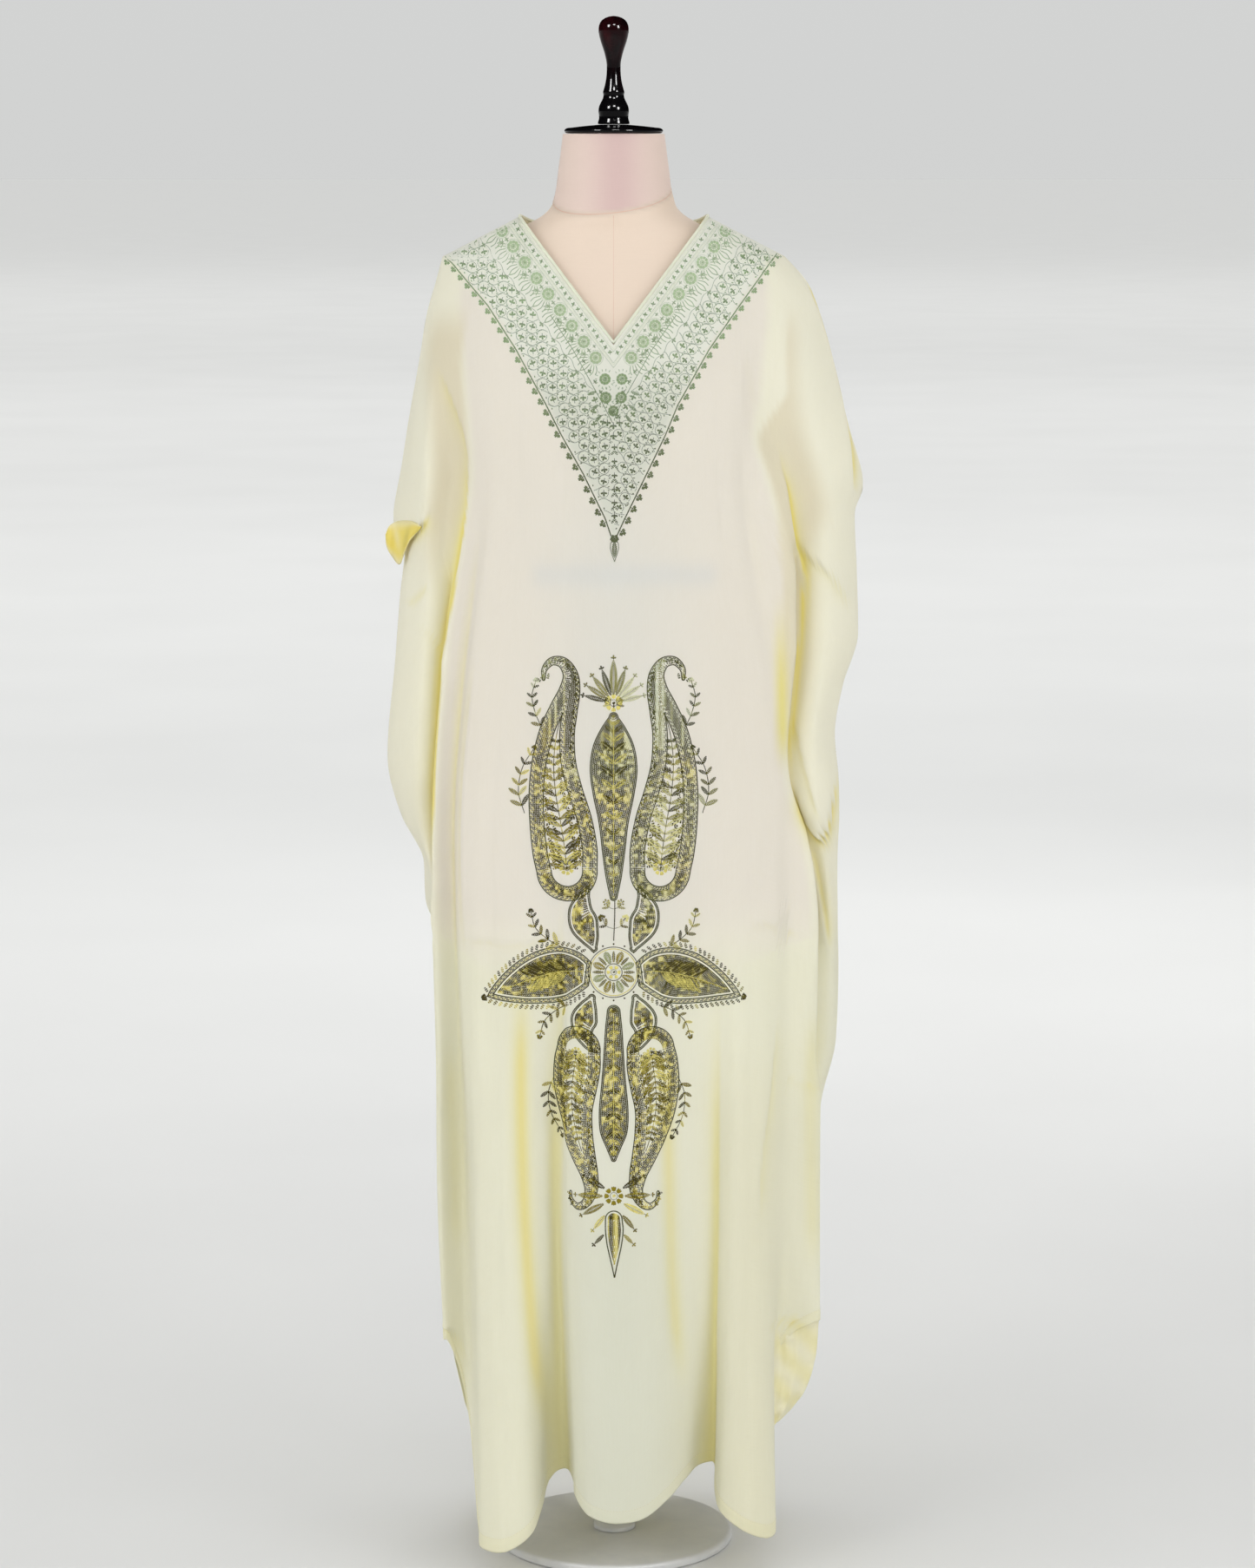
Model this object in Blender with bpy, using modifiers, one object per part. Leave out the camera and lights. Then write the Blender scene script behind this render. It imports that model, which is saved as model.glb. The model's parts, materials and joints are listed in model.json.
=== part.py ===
# Long embroidered kaftan with a V neck, worn on a limbless dress form on a
# plain round stand.  Metres, +Z up, the front faces -Y, the floor is Z = 0.
#
# The cloth is two thin panels, a front and a back, each cut in one with its
# half of both sleeves.  They meet along the shoulders and the top fold of each
# sleeve, part at the sleeve openings, and meet again down the side seams.
# Each panel is a loft of plan curves: at every height the curve runs through
# named stations (side seam, sleeve, valley, ridge, and each fold of the skirt).
import math

import bmesh
import bpy
import numpy as np

MM = 0.001

# ---- driving sizes (mm) -----------------------------------------------------
CLOTH = 1.5            # wall of the cloth
SEAM_GAP = 0.5         # half of the gap that parts two sewn edges
NECK_POINT_X = 96.0    # neckline at the shoulder, from the centre line
NECK_POINT_Z = 1392.0
NOTCH_Z = 1267.0       # cut edge of the cloth at the bottom of the V
BACK_NECK_Z = 1383.0   # cut edge of the cloth at the centre back
SHOULDER_X = 174.0     # where the cloth leaves the shoulder
SHOULDER_Z = 1352.0
SLEEVE_END = {-1: 1070.0, 1: 1113.0}    # top of each sleeve opening
OPENING_END = {-1: 702.0, 1: 748.0}     # bottom of each sleeve opening
OPENING_WIDE = {-1: 40.0, 1: 34.0}      # front edge to back edge, half way down
PIPING = 4.2           # piping round the neck, diameter
EASE = 7.0             # cloth to form, where it lies on the shoulders
LEVELS = (1120.0, 760.0, 420.0, 60.0)   # bust, hip, knee and hem heights

# ---- the folds of the front, left to right: x and y at each level, hem height
FRONT = """
name         x_bust x_hip x_knee x_hem   y_bust y_hip y_knee y_hem  hem_z
dip_side_l    -130  -163   -156  -154     -112   -94   -70    -48    164
lobe_l_side   -120  -158   -147  -141     -118  -114  -106    -84     33
lobe_l_out    -106  -144   -138  -135     -122  -121  -132   -134     31
lobe_l         -88  -122   -117  -112     -126  -128  -142   -154     34
lobe_l_in      -74  -100    -97   -87     -128  -132  -142   -140     46
dip_l_side     -66   -86    -82   -75     -129  -134  -134    -84     56
dip_l          -58   -74    -70   -64     -130  -136  -120    -14     70
dip_l_back     -50   -63    -59   -50     -131  -137  -108      2     73
dip_l_in       -44   -53    -53   -41     -131  -137  -118    -50     78
lobe_m_side    -36   -44    -47   -38     -132  -138  -140   -118     80
lobe_m_out     -24   -30    -34   -26     -133  -139  -155   -156     74
lobe_m           0     0      0     2     -133  -140  -161   -168     69
lobe_m_in       22    28     30    30     -133  -140  -158   -158     71
dip_r_side      40    50     52    52     -132  -138  -147   -126     78
dip_r_in        54    70     74    74     -131  -135  -127    -62     83
dip_r           66    89     93    92     -130  -131  -112      0     80
dip_r_back      73   101    105   102     -129  -129  -106      6     80
lobe_r_side     80   112    112   104     -128  -127  -120    -60     68
lobe_r_out      91   125    122   111     -126  -124  -134   -120     64
lobe_r         104   139    138   134     -123  -119  -134   -144     53
lobe_r_in      116   153    153   158     -119  -113  -124   -128     40
side_r         123   163    163   168     -115  -108  -108    -76     37
dip_side_r     128   177    178   152     -112  -100   -88    -22    212
"""

# ---- the folds of the back, which the photo hides: softer ones of the same kind
BACK = """
name        x_bust x_hip x_knee x_hem   y_bust y_hip y_knee y_hem  hem_z
side_l       -126  -152   -150  -148      104   102   104     92     74
lobe_l       -106  -128   -126  -122      109   110   124    136     44
lobe_l_in     -90  -108   -106  -102      111   114   120    118     44
dip_l         -72   -86    -84   -82      112   117   112     78     46
lobe_ml       -48   -58    -58   -58      113   121   140    150     42
dip_m         -22   -26    -24   -20      113   122   120     92     46
lobe_m          4     8     12    18      112   121   136    150     41
dip_r          34    40     46    52      112   119   116     82     46
lobe_mr        62    74     80    86      112   117   136    148     42
dip_rr         88   108    114   118      110   112   112     80     46
lobe_r        110   134    140   142      107   108   122    122     46
side_r        128   158   164   160      102   100   104     94     80
"""

# ---- the two sides, from the panel outwards: x outward from the centre.
# ridge: the outer fold of the front panel; valley: where the cloth tucks in
# behind it; sleeve: its face; roll: the lip of the top fold; edge: side seam.
LEFT = """
z     ridge_x ridge_y valley_x valley_y sleeve_x sleeve_y roll_x roll_y edge_x edge_y
1330   140     -66     156     -50      164      -40      172    -30     180     0
1300   146     -78     162     -54      172      -44      181    -38     189     0
1249   153     -88     166     -58      181      -48      187    -52     198     0
1190   148     -96     163     -62      186      -52      193    -62     209     0
1141   145    -100     160     -60      189      -52      197    -66     217     0
1086   153    -100     160     -52      190      -50      200    -62     226     0
1060   157     -99     159     -46      188      -52      202    -56     213   -20
1013   165     -98     161     -38      187      -56      204    -50     218   -24
942    173     -98     163     -30      193      -56      210    -48     224   -24
841    182     -98     170     -26      199      -50      216    -40     233   -18
782    184     -98     172     -24      195      -44      208    -32     220   -14
731    184     -97     172     -24      186      -36      190    -24     197    -8
691    184     -96     171     -24      181      -28      188    -18     196    -2
642    179     -93     171     -28      168      -12      170     -2     177     8
532    178     -89     171     -30      164      -10      161      0     159    12
423    179     -85     172     -30      163      -10      158      0     153    12
180    173     -68     167     -30      159      -10      153      1     148    12
"""
RIGHT = """
z     ridge_x ridge_y valley_x valley_y sleeve_x sleeve_y roll_x roll_y edge_x edge_y
1330   136     -72     158     -54      174      -40      186    -24     194     0
1295   134     -82     160     -56      188      -44      203    -30     210     0
1255   134     -92     163     -58      196      -48      214    -38     221     0
1187   134    -100     167     -58      206      -54      229    -44     237     0
1122   142    -104     173     -54      214      -56      242    -42     253     0
1095   146    -104     177     -50      216      -56      236    -38     245   -10
1036   155    -102     183     -46      218      -56      238    -40     248   -16
971    162    -100     183     -40      216      -58      238    -42     250   -18
918    169     -98     181     -34      208      -58      225    -42     235   -18
866    176     -96     178     -30      204      -58      218    -42     227   -18
822    181     -95     177     -28      206      -58      222    -42     231   -16
771    187     -93     180     -30      208      -54      224    -38     232   -12
736    193     -91     186     -36      216      -44      226    -28     231    -6
677    197     -89     192     -40      222      -44      230    -22     232     4
616    199     -86     196     -42      224      -40      231    -20     234     6
543    204     -80     201     -44      222      -36      230    -18     232     6
488    213     -66     211     -42      216      -26      219    -10     220     8
440    217     -60     216     -38      214      -20      210     -6     207     9
324    217     -56     216     -34      212      -18      207     -5     203    10
180    215     -54     214     -32      210      -16      205     -4     200    10
"""
# ---- the same for the back: its widest fold and its inner ridge
BACK_LEFT = """
z     wide_x wide_y ridge_x ridge_y
1330   178     14    138     58
1249   195     22    148     80
1190   205     26    145     88
1141   212     30    141     92
1086   221     31    146     93
1060   211     33    149     93
1036   212     36    152     94
942    217     46    162     93
841    223     48    170     92
782    212     46    174     92
731    196     42    174     92
642    178     38    170     90
532    171     38    168     88
423    170     40    168     88
180    169     40    162     84
"""
BACK_RIGHT = """
z     wide_x wide_y ridge_x ridge_y
1330   190     14    138     58
1255   217     24    140     82
1187   231     28    139     90
1122   246     32    144     93
1036   240     42    154     94
971    240     46    160     94
918    226     46    166     93
866    219     46    171     92
793    221     44    178     90
731    224     42    184     88
654    228     40    192     86
592    228     38    197     84
543    225     38    199     84
488    216     38    198     86
408    211     38    196     88
240    211     38    192     88
180    205     40    184     88
120    190     42    172     88
"""
# ---- hem heights of the side stations, from the seam inwards
SIDE_HEMS = """
panel side  edge lip roll sleeve valley ridge
-1    -1    214  214  216  219    226    236
-1     1    243  243  244  246    250    252
1     -1    214  212  200  184    160    120
1      1    243  240  214  188    160    126
"""
# ---- cloth that droops over itself across a sleeve (a fold across the grain):
# side, height, drop, half height, bulge, and the stations it runs between
DROOPS = """
side  z     drop  half  bulge  start  full
-1    1076    6    12      8    2.2    1.5
1      772    5    26      8    4.6    2.9
"""
# ---- the dress form: rings of its body, then of its neck
FORM = """
z     wide  front  back  square
668    136    92    96    2.3
674    143    98   103    2.3
700    150   102   110    2.3
780    154   104   115    2.3
860    147    99   106    2.3
940    127    91    86    2.2
1030   110    88    76    2.2
1095   124   104    84    2.2
1150   140   119    92    2.3
1200   147   114    96    2.3
1250   152   100    97    2.3
1300   157    84    91    2.3
1325   157    74    84    2.3
1342   150    67    77    2.3
1358   134    61    70    2.3
1372   112    56    64    2.3
1383    91    54    60    2.2
1392    74    54    58    2.1
1400    65    53    57    2.0
1412  60.5    52    56    2.0
1440    56    49    53    2.0
1475  51.5    46    48    2.0
"""
# ---- the turned knob on the neck: height and radius of its profile
KNOB = """
z       r
1484.6  0
1484.6  16
1487    15.6
1491    14.8
1497    15.4
1503    14.6
1509    11.6
1513    10.4
1516    10.8
1519    10.2
1524    8.8
1534    7.2
1544    7.0
1552    8.4
1562    11.4
1572    14.4
1580    15.2
1586    13.6
1590    9.0
1592    3.5
1592.5  0
"""
CAP = """
z       r
1475.4  0
1475.4  47.5
1476.6  49.6
1479.2  49.6
1480.8  47.6
1482.2  36
1483.4  22
1484.2  16
1484.2  0
"""
POLE_R = 11.0
BASE_R = 125.0
BASE_H = 9.0
FORM_CLEAR = 0.4


def table(text):
    lines = [line.split() for line in text.strip().splitlines()]
    rows = lines[1:]
    named = {}
    for i, name in enumerate(lines[0]):
        cells = [r[i] for r in rows]
        named[name] = cells if name == "name" else np.array([float(c) for c in cells])
    return named


def smooth(t):
    t = np.clip(t, 0.0, 1.0)
    return t * t * (3 - 2 * t)


def slopes(x, y, shape_kept=True):
    """Tangents of a smooth curve through points: monotone where shape_kept."""
    h = np.diff(x)
    d = np.diff(y, axis=0) / (h if y.ndim == 1 else h[:, None])
    m = np.zeros_like(y, dtype=float)
    m[0], m[-1] = d[0], d[-1]
    h0, h1 = (h[:-1], h[1:]) if y.ndim == 1 else (h[:-1, None], h[1:, None])
    m[1:-1] = (d[:-1] * h1 + d[1:] * h0) / (h0 + h1)
    if shape_kept:
        flat = d[:-1] * d[1:] <= 0
        m[1:-1][flat] = 0.0
        low = 2.5 * np.minimum(abs(d[:-1]), abs(d[1:]))
        m[1:-1] = np.clip(m[1:-1], -low, low)
    return m


def through(x, y, at, shape_kept=True):
    """The smooth curve through (x, y), with x rising, read at the places at."""
    x, y, at = np.asarray(x, float), np.asarray(y, float), np.asarray(at, float)
    m = slopes(x, y, shape_kept)
    i = np.clip(np.searchsorted(x, at, side="right") - 1, 0, len(x) - 2)
    h = x[i + 1] - x[i]
    t = np.clip((at - x[i]) / h, 0.0, 1.0)
    if y.ndim > 1:
        h, t = h[:, None], t[:, None]
    return (
        y[i] * (1 + 2 * t) * (1 - t) ** 2
        + m[i] * h * t * (1 - t) ** 2
        + y[i + 1] * t * t * (3 - 2 * t)
        + m[i + 1] * h * t * t * (t - 1)
    )


def by_height(rows, name, z):
    """A column of a table whose rows go down in height, read at the heights z."""
    return through(rows["z"][::-1], rows[name][::-1], z)


def by_level(rows, axis, z):
    """Each fold's x or y at the heights z: an array of folds by heights."""
    names = [f"{axis}_{n}" for n in ("bust", "hip", "knee", "hem")]
    values = np.array([rows[n] for n in names])
    return np.array(
        [through(LEVELS[::-1], values[::-1, i], z) for i in range(values.shape[1])]
    )


SIDE = {-1: table(LEFT), 1: table(RIGHT)}
BACK_SIDE = {-1: table(BACK_LEFT), 1: table(BACK_RIGHT)}
HEMS = table(SIDE_HEMS)
STATIONS = ("edge", "lip", "roll", "sleeve", "valley", "ridge")
BESIDE = len(STATIONS)
LIP = 5.0              # the seam's edge turns in by this much
form_rows = table(FORM)


def form_at(name, z):
    return through(form_rows["z"], form_rows[name], z)


def half_width(side, z):
    """How far the cloth reaches from the centre line at the heights z."""
    z = np.asarray(z, float)
    over = SHOULDER_X - (SHOULDER_X - NECK_POINT_X) * np.clip(
        (z - SHOULDER_Z) / (NECK_POINT_Z - SHOULDER_Z), 0, 1.6
    )
    side_rows = SIDE[side]
    heights = np.concatenate([[SHOULDER_Z], side_rows["z"]])[::-1]
    reach = np.concatenate([[SHOULDER_X], side_rows["edge_x"]])[::-1]
    return np.where(z > SHOULDER_Z, over, through(heights, reach, np.minimum(z, SHOULDER_Z)))


def on_form(side, way, x, z):
    """y of the cloth where it lies on the form's shoulders and chest."""
    deep = form_at("front" if way < 0 else "back", z) + EASE
    wide = half_width(side, z)
    share = np.clip(abs(x) / wide, 0, 1)
    return way * deep * (1 - share**2.3) ** (1 / 2.3)


def opening(side, z):
    """How far the two edges of a sleeve stand apart at the heights z."""
    top, end = SLEEVE_END[side], OPENING_END[side]
    return OPENING_WIDE[side] * np.sin(math.pi * np.clip((top - z) / (top - end), 0, 1)) ** 0.8


class Panel:
    """The front (way -1) or the back (way 1) of the kaftan, as a surface."""

    def __init__(self, way):
        self.way = way
        self.folds = table(FRONT if way < 0 else BACK)
        self.count = len(self.folds["name"]) + 2 * BESIDE
        self.middle = self.folds["name"].index("lobe_m") + BESIDE

    def beside(self, side, z):
        """x (outward) and y of the six side stations at the heights z."""
        edge_x, edge_y = (by_height(SIDE[side], f"edge_{a}", z) for a in "xy")
        if self.way < 0:
            edge_y = edge_y - SEAM_GAP
            found = [(edge_x, edge_y), (edge_x, edge_y - LIP)]
            for name in STATIONS[2:]:
                found.append(tuple(by_height(SIDE[side], f"{name}_{a}", z) for a in "xy"))
            return found
        apart = opening(side, z)
        edge_x, edge_y = edge_x - 0.12 * apart, np.maximum(edge_y + apart, 0) + SEAM_GAP
        wide_x, wide_y, ridge_x, ridge_y = (
            by_height(BACK_SIDE[side], n, z) for n in ("wide_x", "wide_y", "ridge_x", "ridge_y")
        )
        wide_y = np.maximum(wide_y, edge_y + LIP + 6)
        found = [(edge_x, edge_y), (edge_x, edge_y + LIP), (wide_x, wide_y)]
        for share in (0.38, 0.70, 1.0):
            bow = 7 * math.sin(math.pi * share)
            found.append(
                (wide_x + (ridge_x - wide_x) * share + bow, wide_y + (ridge_y - wide_y) * share + bow)
            )
        return found

    def stations(self, z):
        """x and y of every station at the heights z, left to right."""
        z = np.asarray(z, float)
        fold_x, fold_y = (by_level(self.folds, a, z) for a in "xy")
        left, right = (self.beside(side, z) for side in (-1, 1))
        x = [-p[0] for p in left] + list(fold_x) + [p[0] for p in right[::-1]]
        y = [p[1] for p in left] + list(fold_y) + [p[1] for p in right[::-1]]
        return np.array(x), np.array(y)

    def hems(self):
        """Height of the hem at every station."""
        rows = [
            [HEMS[n][i] for n in STATIONS]
            for side in (-1, 1)
            for i in range(len(HEMS["side"]))
            if HEMS["panel"][i] == self.way and HEMS["side"][i] == side
        ]
        return np.concatenate([rows[0], self.folds["hem_z"], rows[1][::-1]])

    def rim(self, side):
        """The cut edge at the top, from the centre line out to the sleeve's end."""
        t = 1 - (1 - np.linspace(0, 1, 61)) ** 2
        if self.way < 0:
            neck = np.array([NECK_POINT_X * t, NOTCH_Z + (NECK_POINT_Z - NOTCH_Z) * t])
        else:
            rise = (NECK_POINT_Z - BACK_NECK_Z) * t**3
            neck = np.array([NECK_POINT_X * t, BACK_NECK_Z + rise])
        z = np.concatenate(
            [
                np.linspace(NECK_POINT_Z, SHOULDER_Z, 30)[1:],
                np.linspace(SHOULDER_Z, SLEEVE_END[side], 120)[1:],
            ]
        )
        return np.concatenate([neck, [half_width(side, z), z]], axis=1), 60, 89

    def columns(self, at):
        """Side, and x and z of the top and z of the hem, of the columns at."""
        last = self.count - 1
        side = np.where(at < self.middle, -1, 1)
        hem = through(np.arange(self.count), self.hems(), at)
        x_top, z_top = np.zeros(len(at)), np.zeros(len(at))
        for s in (-1, 1):
            rim, neck_point, shoulder = self.rim(s)
            along = np.concatenate([[0], np.cumsum(np.hypot(*np.diff(rim, axis=1)))])
            marks = np.arange(self.middle, (-1 if s < 0 else last + 1), s)
            x_end = self.stations(np.array([SLEEVE_END[s]]))[0][marks, 0]
            share = np.minimum(s * (x_end - x_end[0]) / (s * (x_end[-1] - x_end[0])), 1.0)
            share[-2] = 0.5 * (share[-3] + 1.0)
            # where each station's column leaves the rim, in mm along it
            knots = ((0, 0), (0.42, along[neck_point]), (0.66, along[shoulder]), (1.0, along[-1]))
            leave = np.interp(share, *zip(*knots))
            for knot, length in knots[1:3]:
                leave[np.argmin(abs(share - knot))] = length
            mine = side == s
            place = np.interp(abs(at[mine] - self.middle), abs(marks - self.middle), leave)
            x_top[mine] = s * np.interp(place, along, rim[0])
            z_top[mine] = np.interp(place, along, rim[1])
        return side, x_top, z_top, hem

    def plan(self, z, at):
        """x and y of the plan curves at the heights z, each at its own station."""
        line = np.stack(self.stations(z))                      # xy, station, point
        steps = np.maximum(np.linalg.norm(np.diff(line, axis=1), axis=0), 1e-3)
        d = np.diff(line, axis=1) / steps
        m = np.concatenate(
            [d[:, :1], (d[:, :-1] * steps[1:] + d[:, 1:] * steps[:-1]) / (steps[:-1] + steps[1:]), d[:, -1:]],
            axis=1,
        )
        i = np.clip(np.floor(at).astype(int), 0, self.count - 2)
        t, k = at - i, np.arange(len(z))
        h = steps[i, k]
        return (
            line[:, i, k] * (1 + 2 * t) * (1 - t) ** 2
            + m[:, i, k] * h * t * (1 - t) ** 2
            + line[:, i + 1, k] * t * t * (3 - 2 * t)
            + m[:, i + 1, k] * h * t * t * (t - 1)
        )

    def surface(self, at, down):
        """Points of the surface: columns at (in stations) by rows down (0 to 1)."""
        side, x_top, z_top, hem = self.columns(at)
        points = np.zeros((len(down), len(at), 3))
        points[..., 2] = z_top + (hem - z_top) * np.asarray(down)[:, None]
        every = np.linspace(0, self.count - 1, 8 * self.count)
        for i, s in enumerate(side):
            z = points[:, i, 2]
            x, y = self.plan(z, np.full(len(z), at[i]))
            x_end = self.plan(np.array([SLEEVE_END[s]]), at[i : i + 1])[0][0]
            for j in np.flatnonzero(z > SLEEVE_END[s]):
                fall = (z_top[i] - z[j]) / max(z_top[i] - SLEEVE_END[s], 1e-6)
                x[j] = x_top[i] + (x_end - x_top[i]) * smooth(fall)
                cut_x, cut_y = self.plan(np.full(len(every), z[j]), every)
                lies = smooth((z[j] - 1130) / 170)
                rest = lies * float(on_form(s, self.way, x[j], z[j]))
                rest += (1 - lies) * np.interp(x[j], cut_x, cut_y)
                y[j] = self.way * max(self.way * rest, SEAM_GAP)
                if j == 0 and abs(x[j]) > NECK_POINT_X - 0.01:
                    y[j] = self.way * SEAM_GAP
            points[:, i, 0], points[:, i, 1] = x, y
        return self.droop(points, at)

    def droop(self, points, at):
        """Folds across a sleeve: cloth above drops in front of the cloth below."""
        if self.way > 0:
            return points
        rows = table(DROOPS)
        for k in range(len(rows["z"])):
            from_edge = at if rows["side"][k] < 0 else self.count - 1 - at
            a, b = rows["start"][k], rows["full"][k]
            much = smooth((a - from_edge) / (a - b))[None, :]
            t = (rows["z"][k] - points[..., 2]) / rows["half"][k]
            points[..., 2] += much * rows["drop"][k] * t * np.exp(-0.5 * t * t)
            points[..., 1] -= much * rows["bulge"][k] * np.exp(-0.5 * (t + 0.9) ** 2)
        return points


def sheet_mesh(name, points, way):
    """An open grid of faces, with the outer face forward."""
    rows, cols = points.shape[:2]
    mesh = bpy.data.meshes.new(name)
    verts = (points.reshape(-1, 3) * MM).tolist()
    faces = []
    for j in range(rows - 1):
        for i in range(cols - 1):
            a, b = j * cols + i, j * cols + i + 1
            c, d = b + cols, a + cols
            faces.append((a, d, c, b) if way < 0 else (a, b, c, d))
    mesh.from_pydata(verts, [], faces)
    mesh.update()
    return mesh


def paint(ob, colour, roughness, metallic=0.0):
    material = bpy.data.materials.new(ob.name)
    material.use_nodes = True
    shader = material.node_tree.nodes["Principled BSDF"]
    shader.inputs["Base Color"].default_value = (*colour, 1.0)
    shader.inputs["Roughness"].default_value = roughness
    shader.inputs["Metallic"].default_value = metallic
    ob.data.materials.clear()
    ob.data.materials.append(material)


def add(name, data, collection):
    ob = bpy.data.objects.new(name, data)
    collection.objects.link(ob)
    return ob


def turned(name, text, collection, steps=32):
    """A turned piece: its profile goes round Z with a Screw modifier."""
    rows = table(text)
    pairs = list(zip(rows["r"] * MM, rows["z"] * MM))[::-1]
    mesh = bpy.data.meshes.new(name)
    mesh.from_pydata([(r, 0, z) for r, z in pairs], [(i, i + 1) for i in range(len(pairs) - 1)], [])
    ob = add(name, mesh, collection)
    screw = ob.modifiers.new("turn", "SCREW")
    screw.steps = screw.render_steps = steps
    screw.use_merge_vertices = True
    screw.merge_threshold = 0.0001
    screw.use_smooth_shade = True
    return ob


def loft(name, rings, collection):
    """A closed skin over rings of equal point counts, shut at both ends."""
    mesh = bpy.data.meshes.new(name)
    made = bmesh.new()
    loops = [[made.verts.new(p) for p in ring] for ring in rings]
    n = len(loops[0])
    for low, high in zip(loops, loops[1:]):
        for i in range(n):
            made.faces.new((low[i], low[(i + 1) % n], high[(i + 1) % n], high[i]))
    made.faces.new(loops[0][::-1])
    made.faces.new(loops[-1])
    made.to_mesh(mesh)
    made.free()
    ob = add(name, mesh, collection)
    mesh.shade_smooth()
    mesh.set_sharp_from_angle(angle=math.radians(40))
    return ob


def form_ring(z, n):
    wide, front, back, square = (float(form_at(k, z)) for k in ("wide", "front", "back", "square"))
    ring = []
    for i in range(n):
        t = 2 * math.pi * (i + 0.5) / n
        c, s = math.cos(t), math.sin(t)
        x = wide * math.copysign(abs(c) ** (2 / square), c)
        y = (back if s > 0 else front) * math.copysign(abs(s) ** (2 / square), s)
        ring.append((x * MM, y * MM, z * MM))
    return ring


def piping_path():
    """The neck's piping lies just outside the cut edge of the cloth."""
    off = PIPING / 2 + 0.7
    run, rise = NECK_POINT_X, NECK_POINT_Z - NOTCH_Z
    length = math.hypot(run, rise)
    half = [(0.0, float(on_form(1, -1, 0.0, NOTCH_Z)), NOTCH_Z + off * length / run)]
    for t in (0.07, 0.2, 0.34, 0.48, 0.62, 0.74, 0.84, 0.91, 0.96, 0.99):
        x, z = run * t, NOTCH_Z + rise * t
        half.append((x - off * rise / length, float(on_form(1, -1, x, z)), z + off * run / length))
    for t in (1.0, 0.99, 0.96, 0.91, 0.84, 0.72, 0.56, 0.38, 0.2, 0.0):
        x, z = NECK_POINT_X * t, BACK_NECK_Z + (NECK_POINT_Z - BACK_NECK_Z) * t**3
        half.append((x - off * t**3 * 0.6, float(on_form(1, 1, x, z)), z + off))
    return half + [(-x, y, z) for x, y, z in half[-2:0:-1]]


def main():
    for ob in list(bpy.data.objects):
        bpy.data.objects.remove(ob)
    kaftan = bpy.data.collections.new("kaftan")
    bpy.context.scene.collection.children.link(kaftan)

    cream = (0.87, 0.84, 0.67)
    for name, way, rows in (("front_panel", -1, 22), ("back_panel", 1, 18)):
        panel = Panel(way)
        at = np.linspace(0, panel.count - 1, (panel.count - 1) * 2 + 1)
        down = np.concatenate([[0, 0.006, 0.015, 0.028], np.linspace(0.05, 1, rows)])
        points = panel.surface(at, down)
        ob = add(name, sheet_mesh(name, points, way), kaftan)
        wall = ob.modifiers.new("wall", "SOLIDIFY")
        wall.thickness = CLOTH * MM
        wall.offset = -1.0
        ob.data.shade_smooth()
        paint(ob, cream, 0.8)

    curve = bpy.data.curves.new("neck_piping", "CURVE")
    curve.dimensions = "3D"
    curve.bevel_depth = PIPING / 2 * MM
    curve.bevel_resolution = 1
    path = piping_path()
    spline = curve.splines.new("POLY")
    spline.points.add(len(path) - 1)
    for point, p in zip(spline.points, path):
        point.co = (*[c * MM for c in p], 1.0)
    spline.use_cyclic_u = True
    paint(add("neck_piping", curve, kaftan), (0.9, 0.88, 0.74), 0.75)

    heights = [668, 674, 700, 740, 780, 820, 860, 900, 940, 985, 1030, 1065, 1100, 1130, 1160, 1200,
               1240, 1275, 1300, 1320, 1335, 1348, 1358, 1367, 1376, 1384, 1392, 1400, 1412, 1440, 1475]
    torso = loft("form_body", [form_ring(z, 28) for z in heights], kaftan)
    paint(torso, (0.86, 0.70, 0.60), 0.6)

    black = (0.012, 0.008, 0.010)
    paint(turned("form_neck_cap", CAP, kaftan), black, 0.12)
    paint(turned("form_knob", KNOB, kaftan, 24), black, 0.12)

    pole = f"""
z r
{BASE_H + 0.3} 0
{BASE_H + 0.3} 22
{BASE_H + 5} 22
{BASE_H + 7} {POLE_R}
{668 - 22} {POLE_R}
{668 - 20} 26
{668 - FORM_CLEAR} 26
{668 - FORM_CLEAR} 0
"""
    paint(turned("stand_pole", pole, kaftan, 24), (0.78, 0.78, 0.77), 0.35)
    base = f"""
z r
0 0
0 {BASE_R - 1.5}
1.5 {BASE_R}
{BASE_H - 3} {BASE_R}
{BASE_H} {BASE_R - 4}
{BASE_H} 0
"""
    paint(turned("stand_base", base, kaftan, 48), (0.80, 0.80, 0.79), 0.4)


main()
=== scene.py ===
# The looks of a long embroidered kaftan on a limbless dress form: fine cloth
# shells on the frame's cloth, its creases and hems, the stitched yoke and skirt
# ornament, the covered form with its lacquered cap and knob, and the stand.
# Tables and lengths are in millimetres until mesh_of() turns them into metres.
import json
import math

import bmesh
import bpy
import numpy as np
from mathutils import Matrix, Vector
from mathutils.bvhtree import BVHTree

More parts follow.
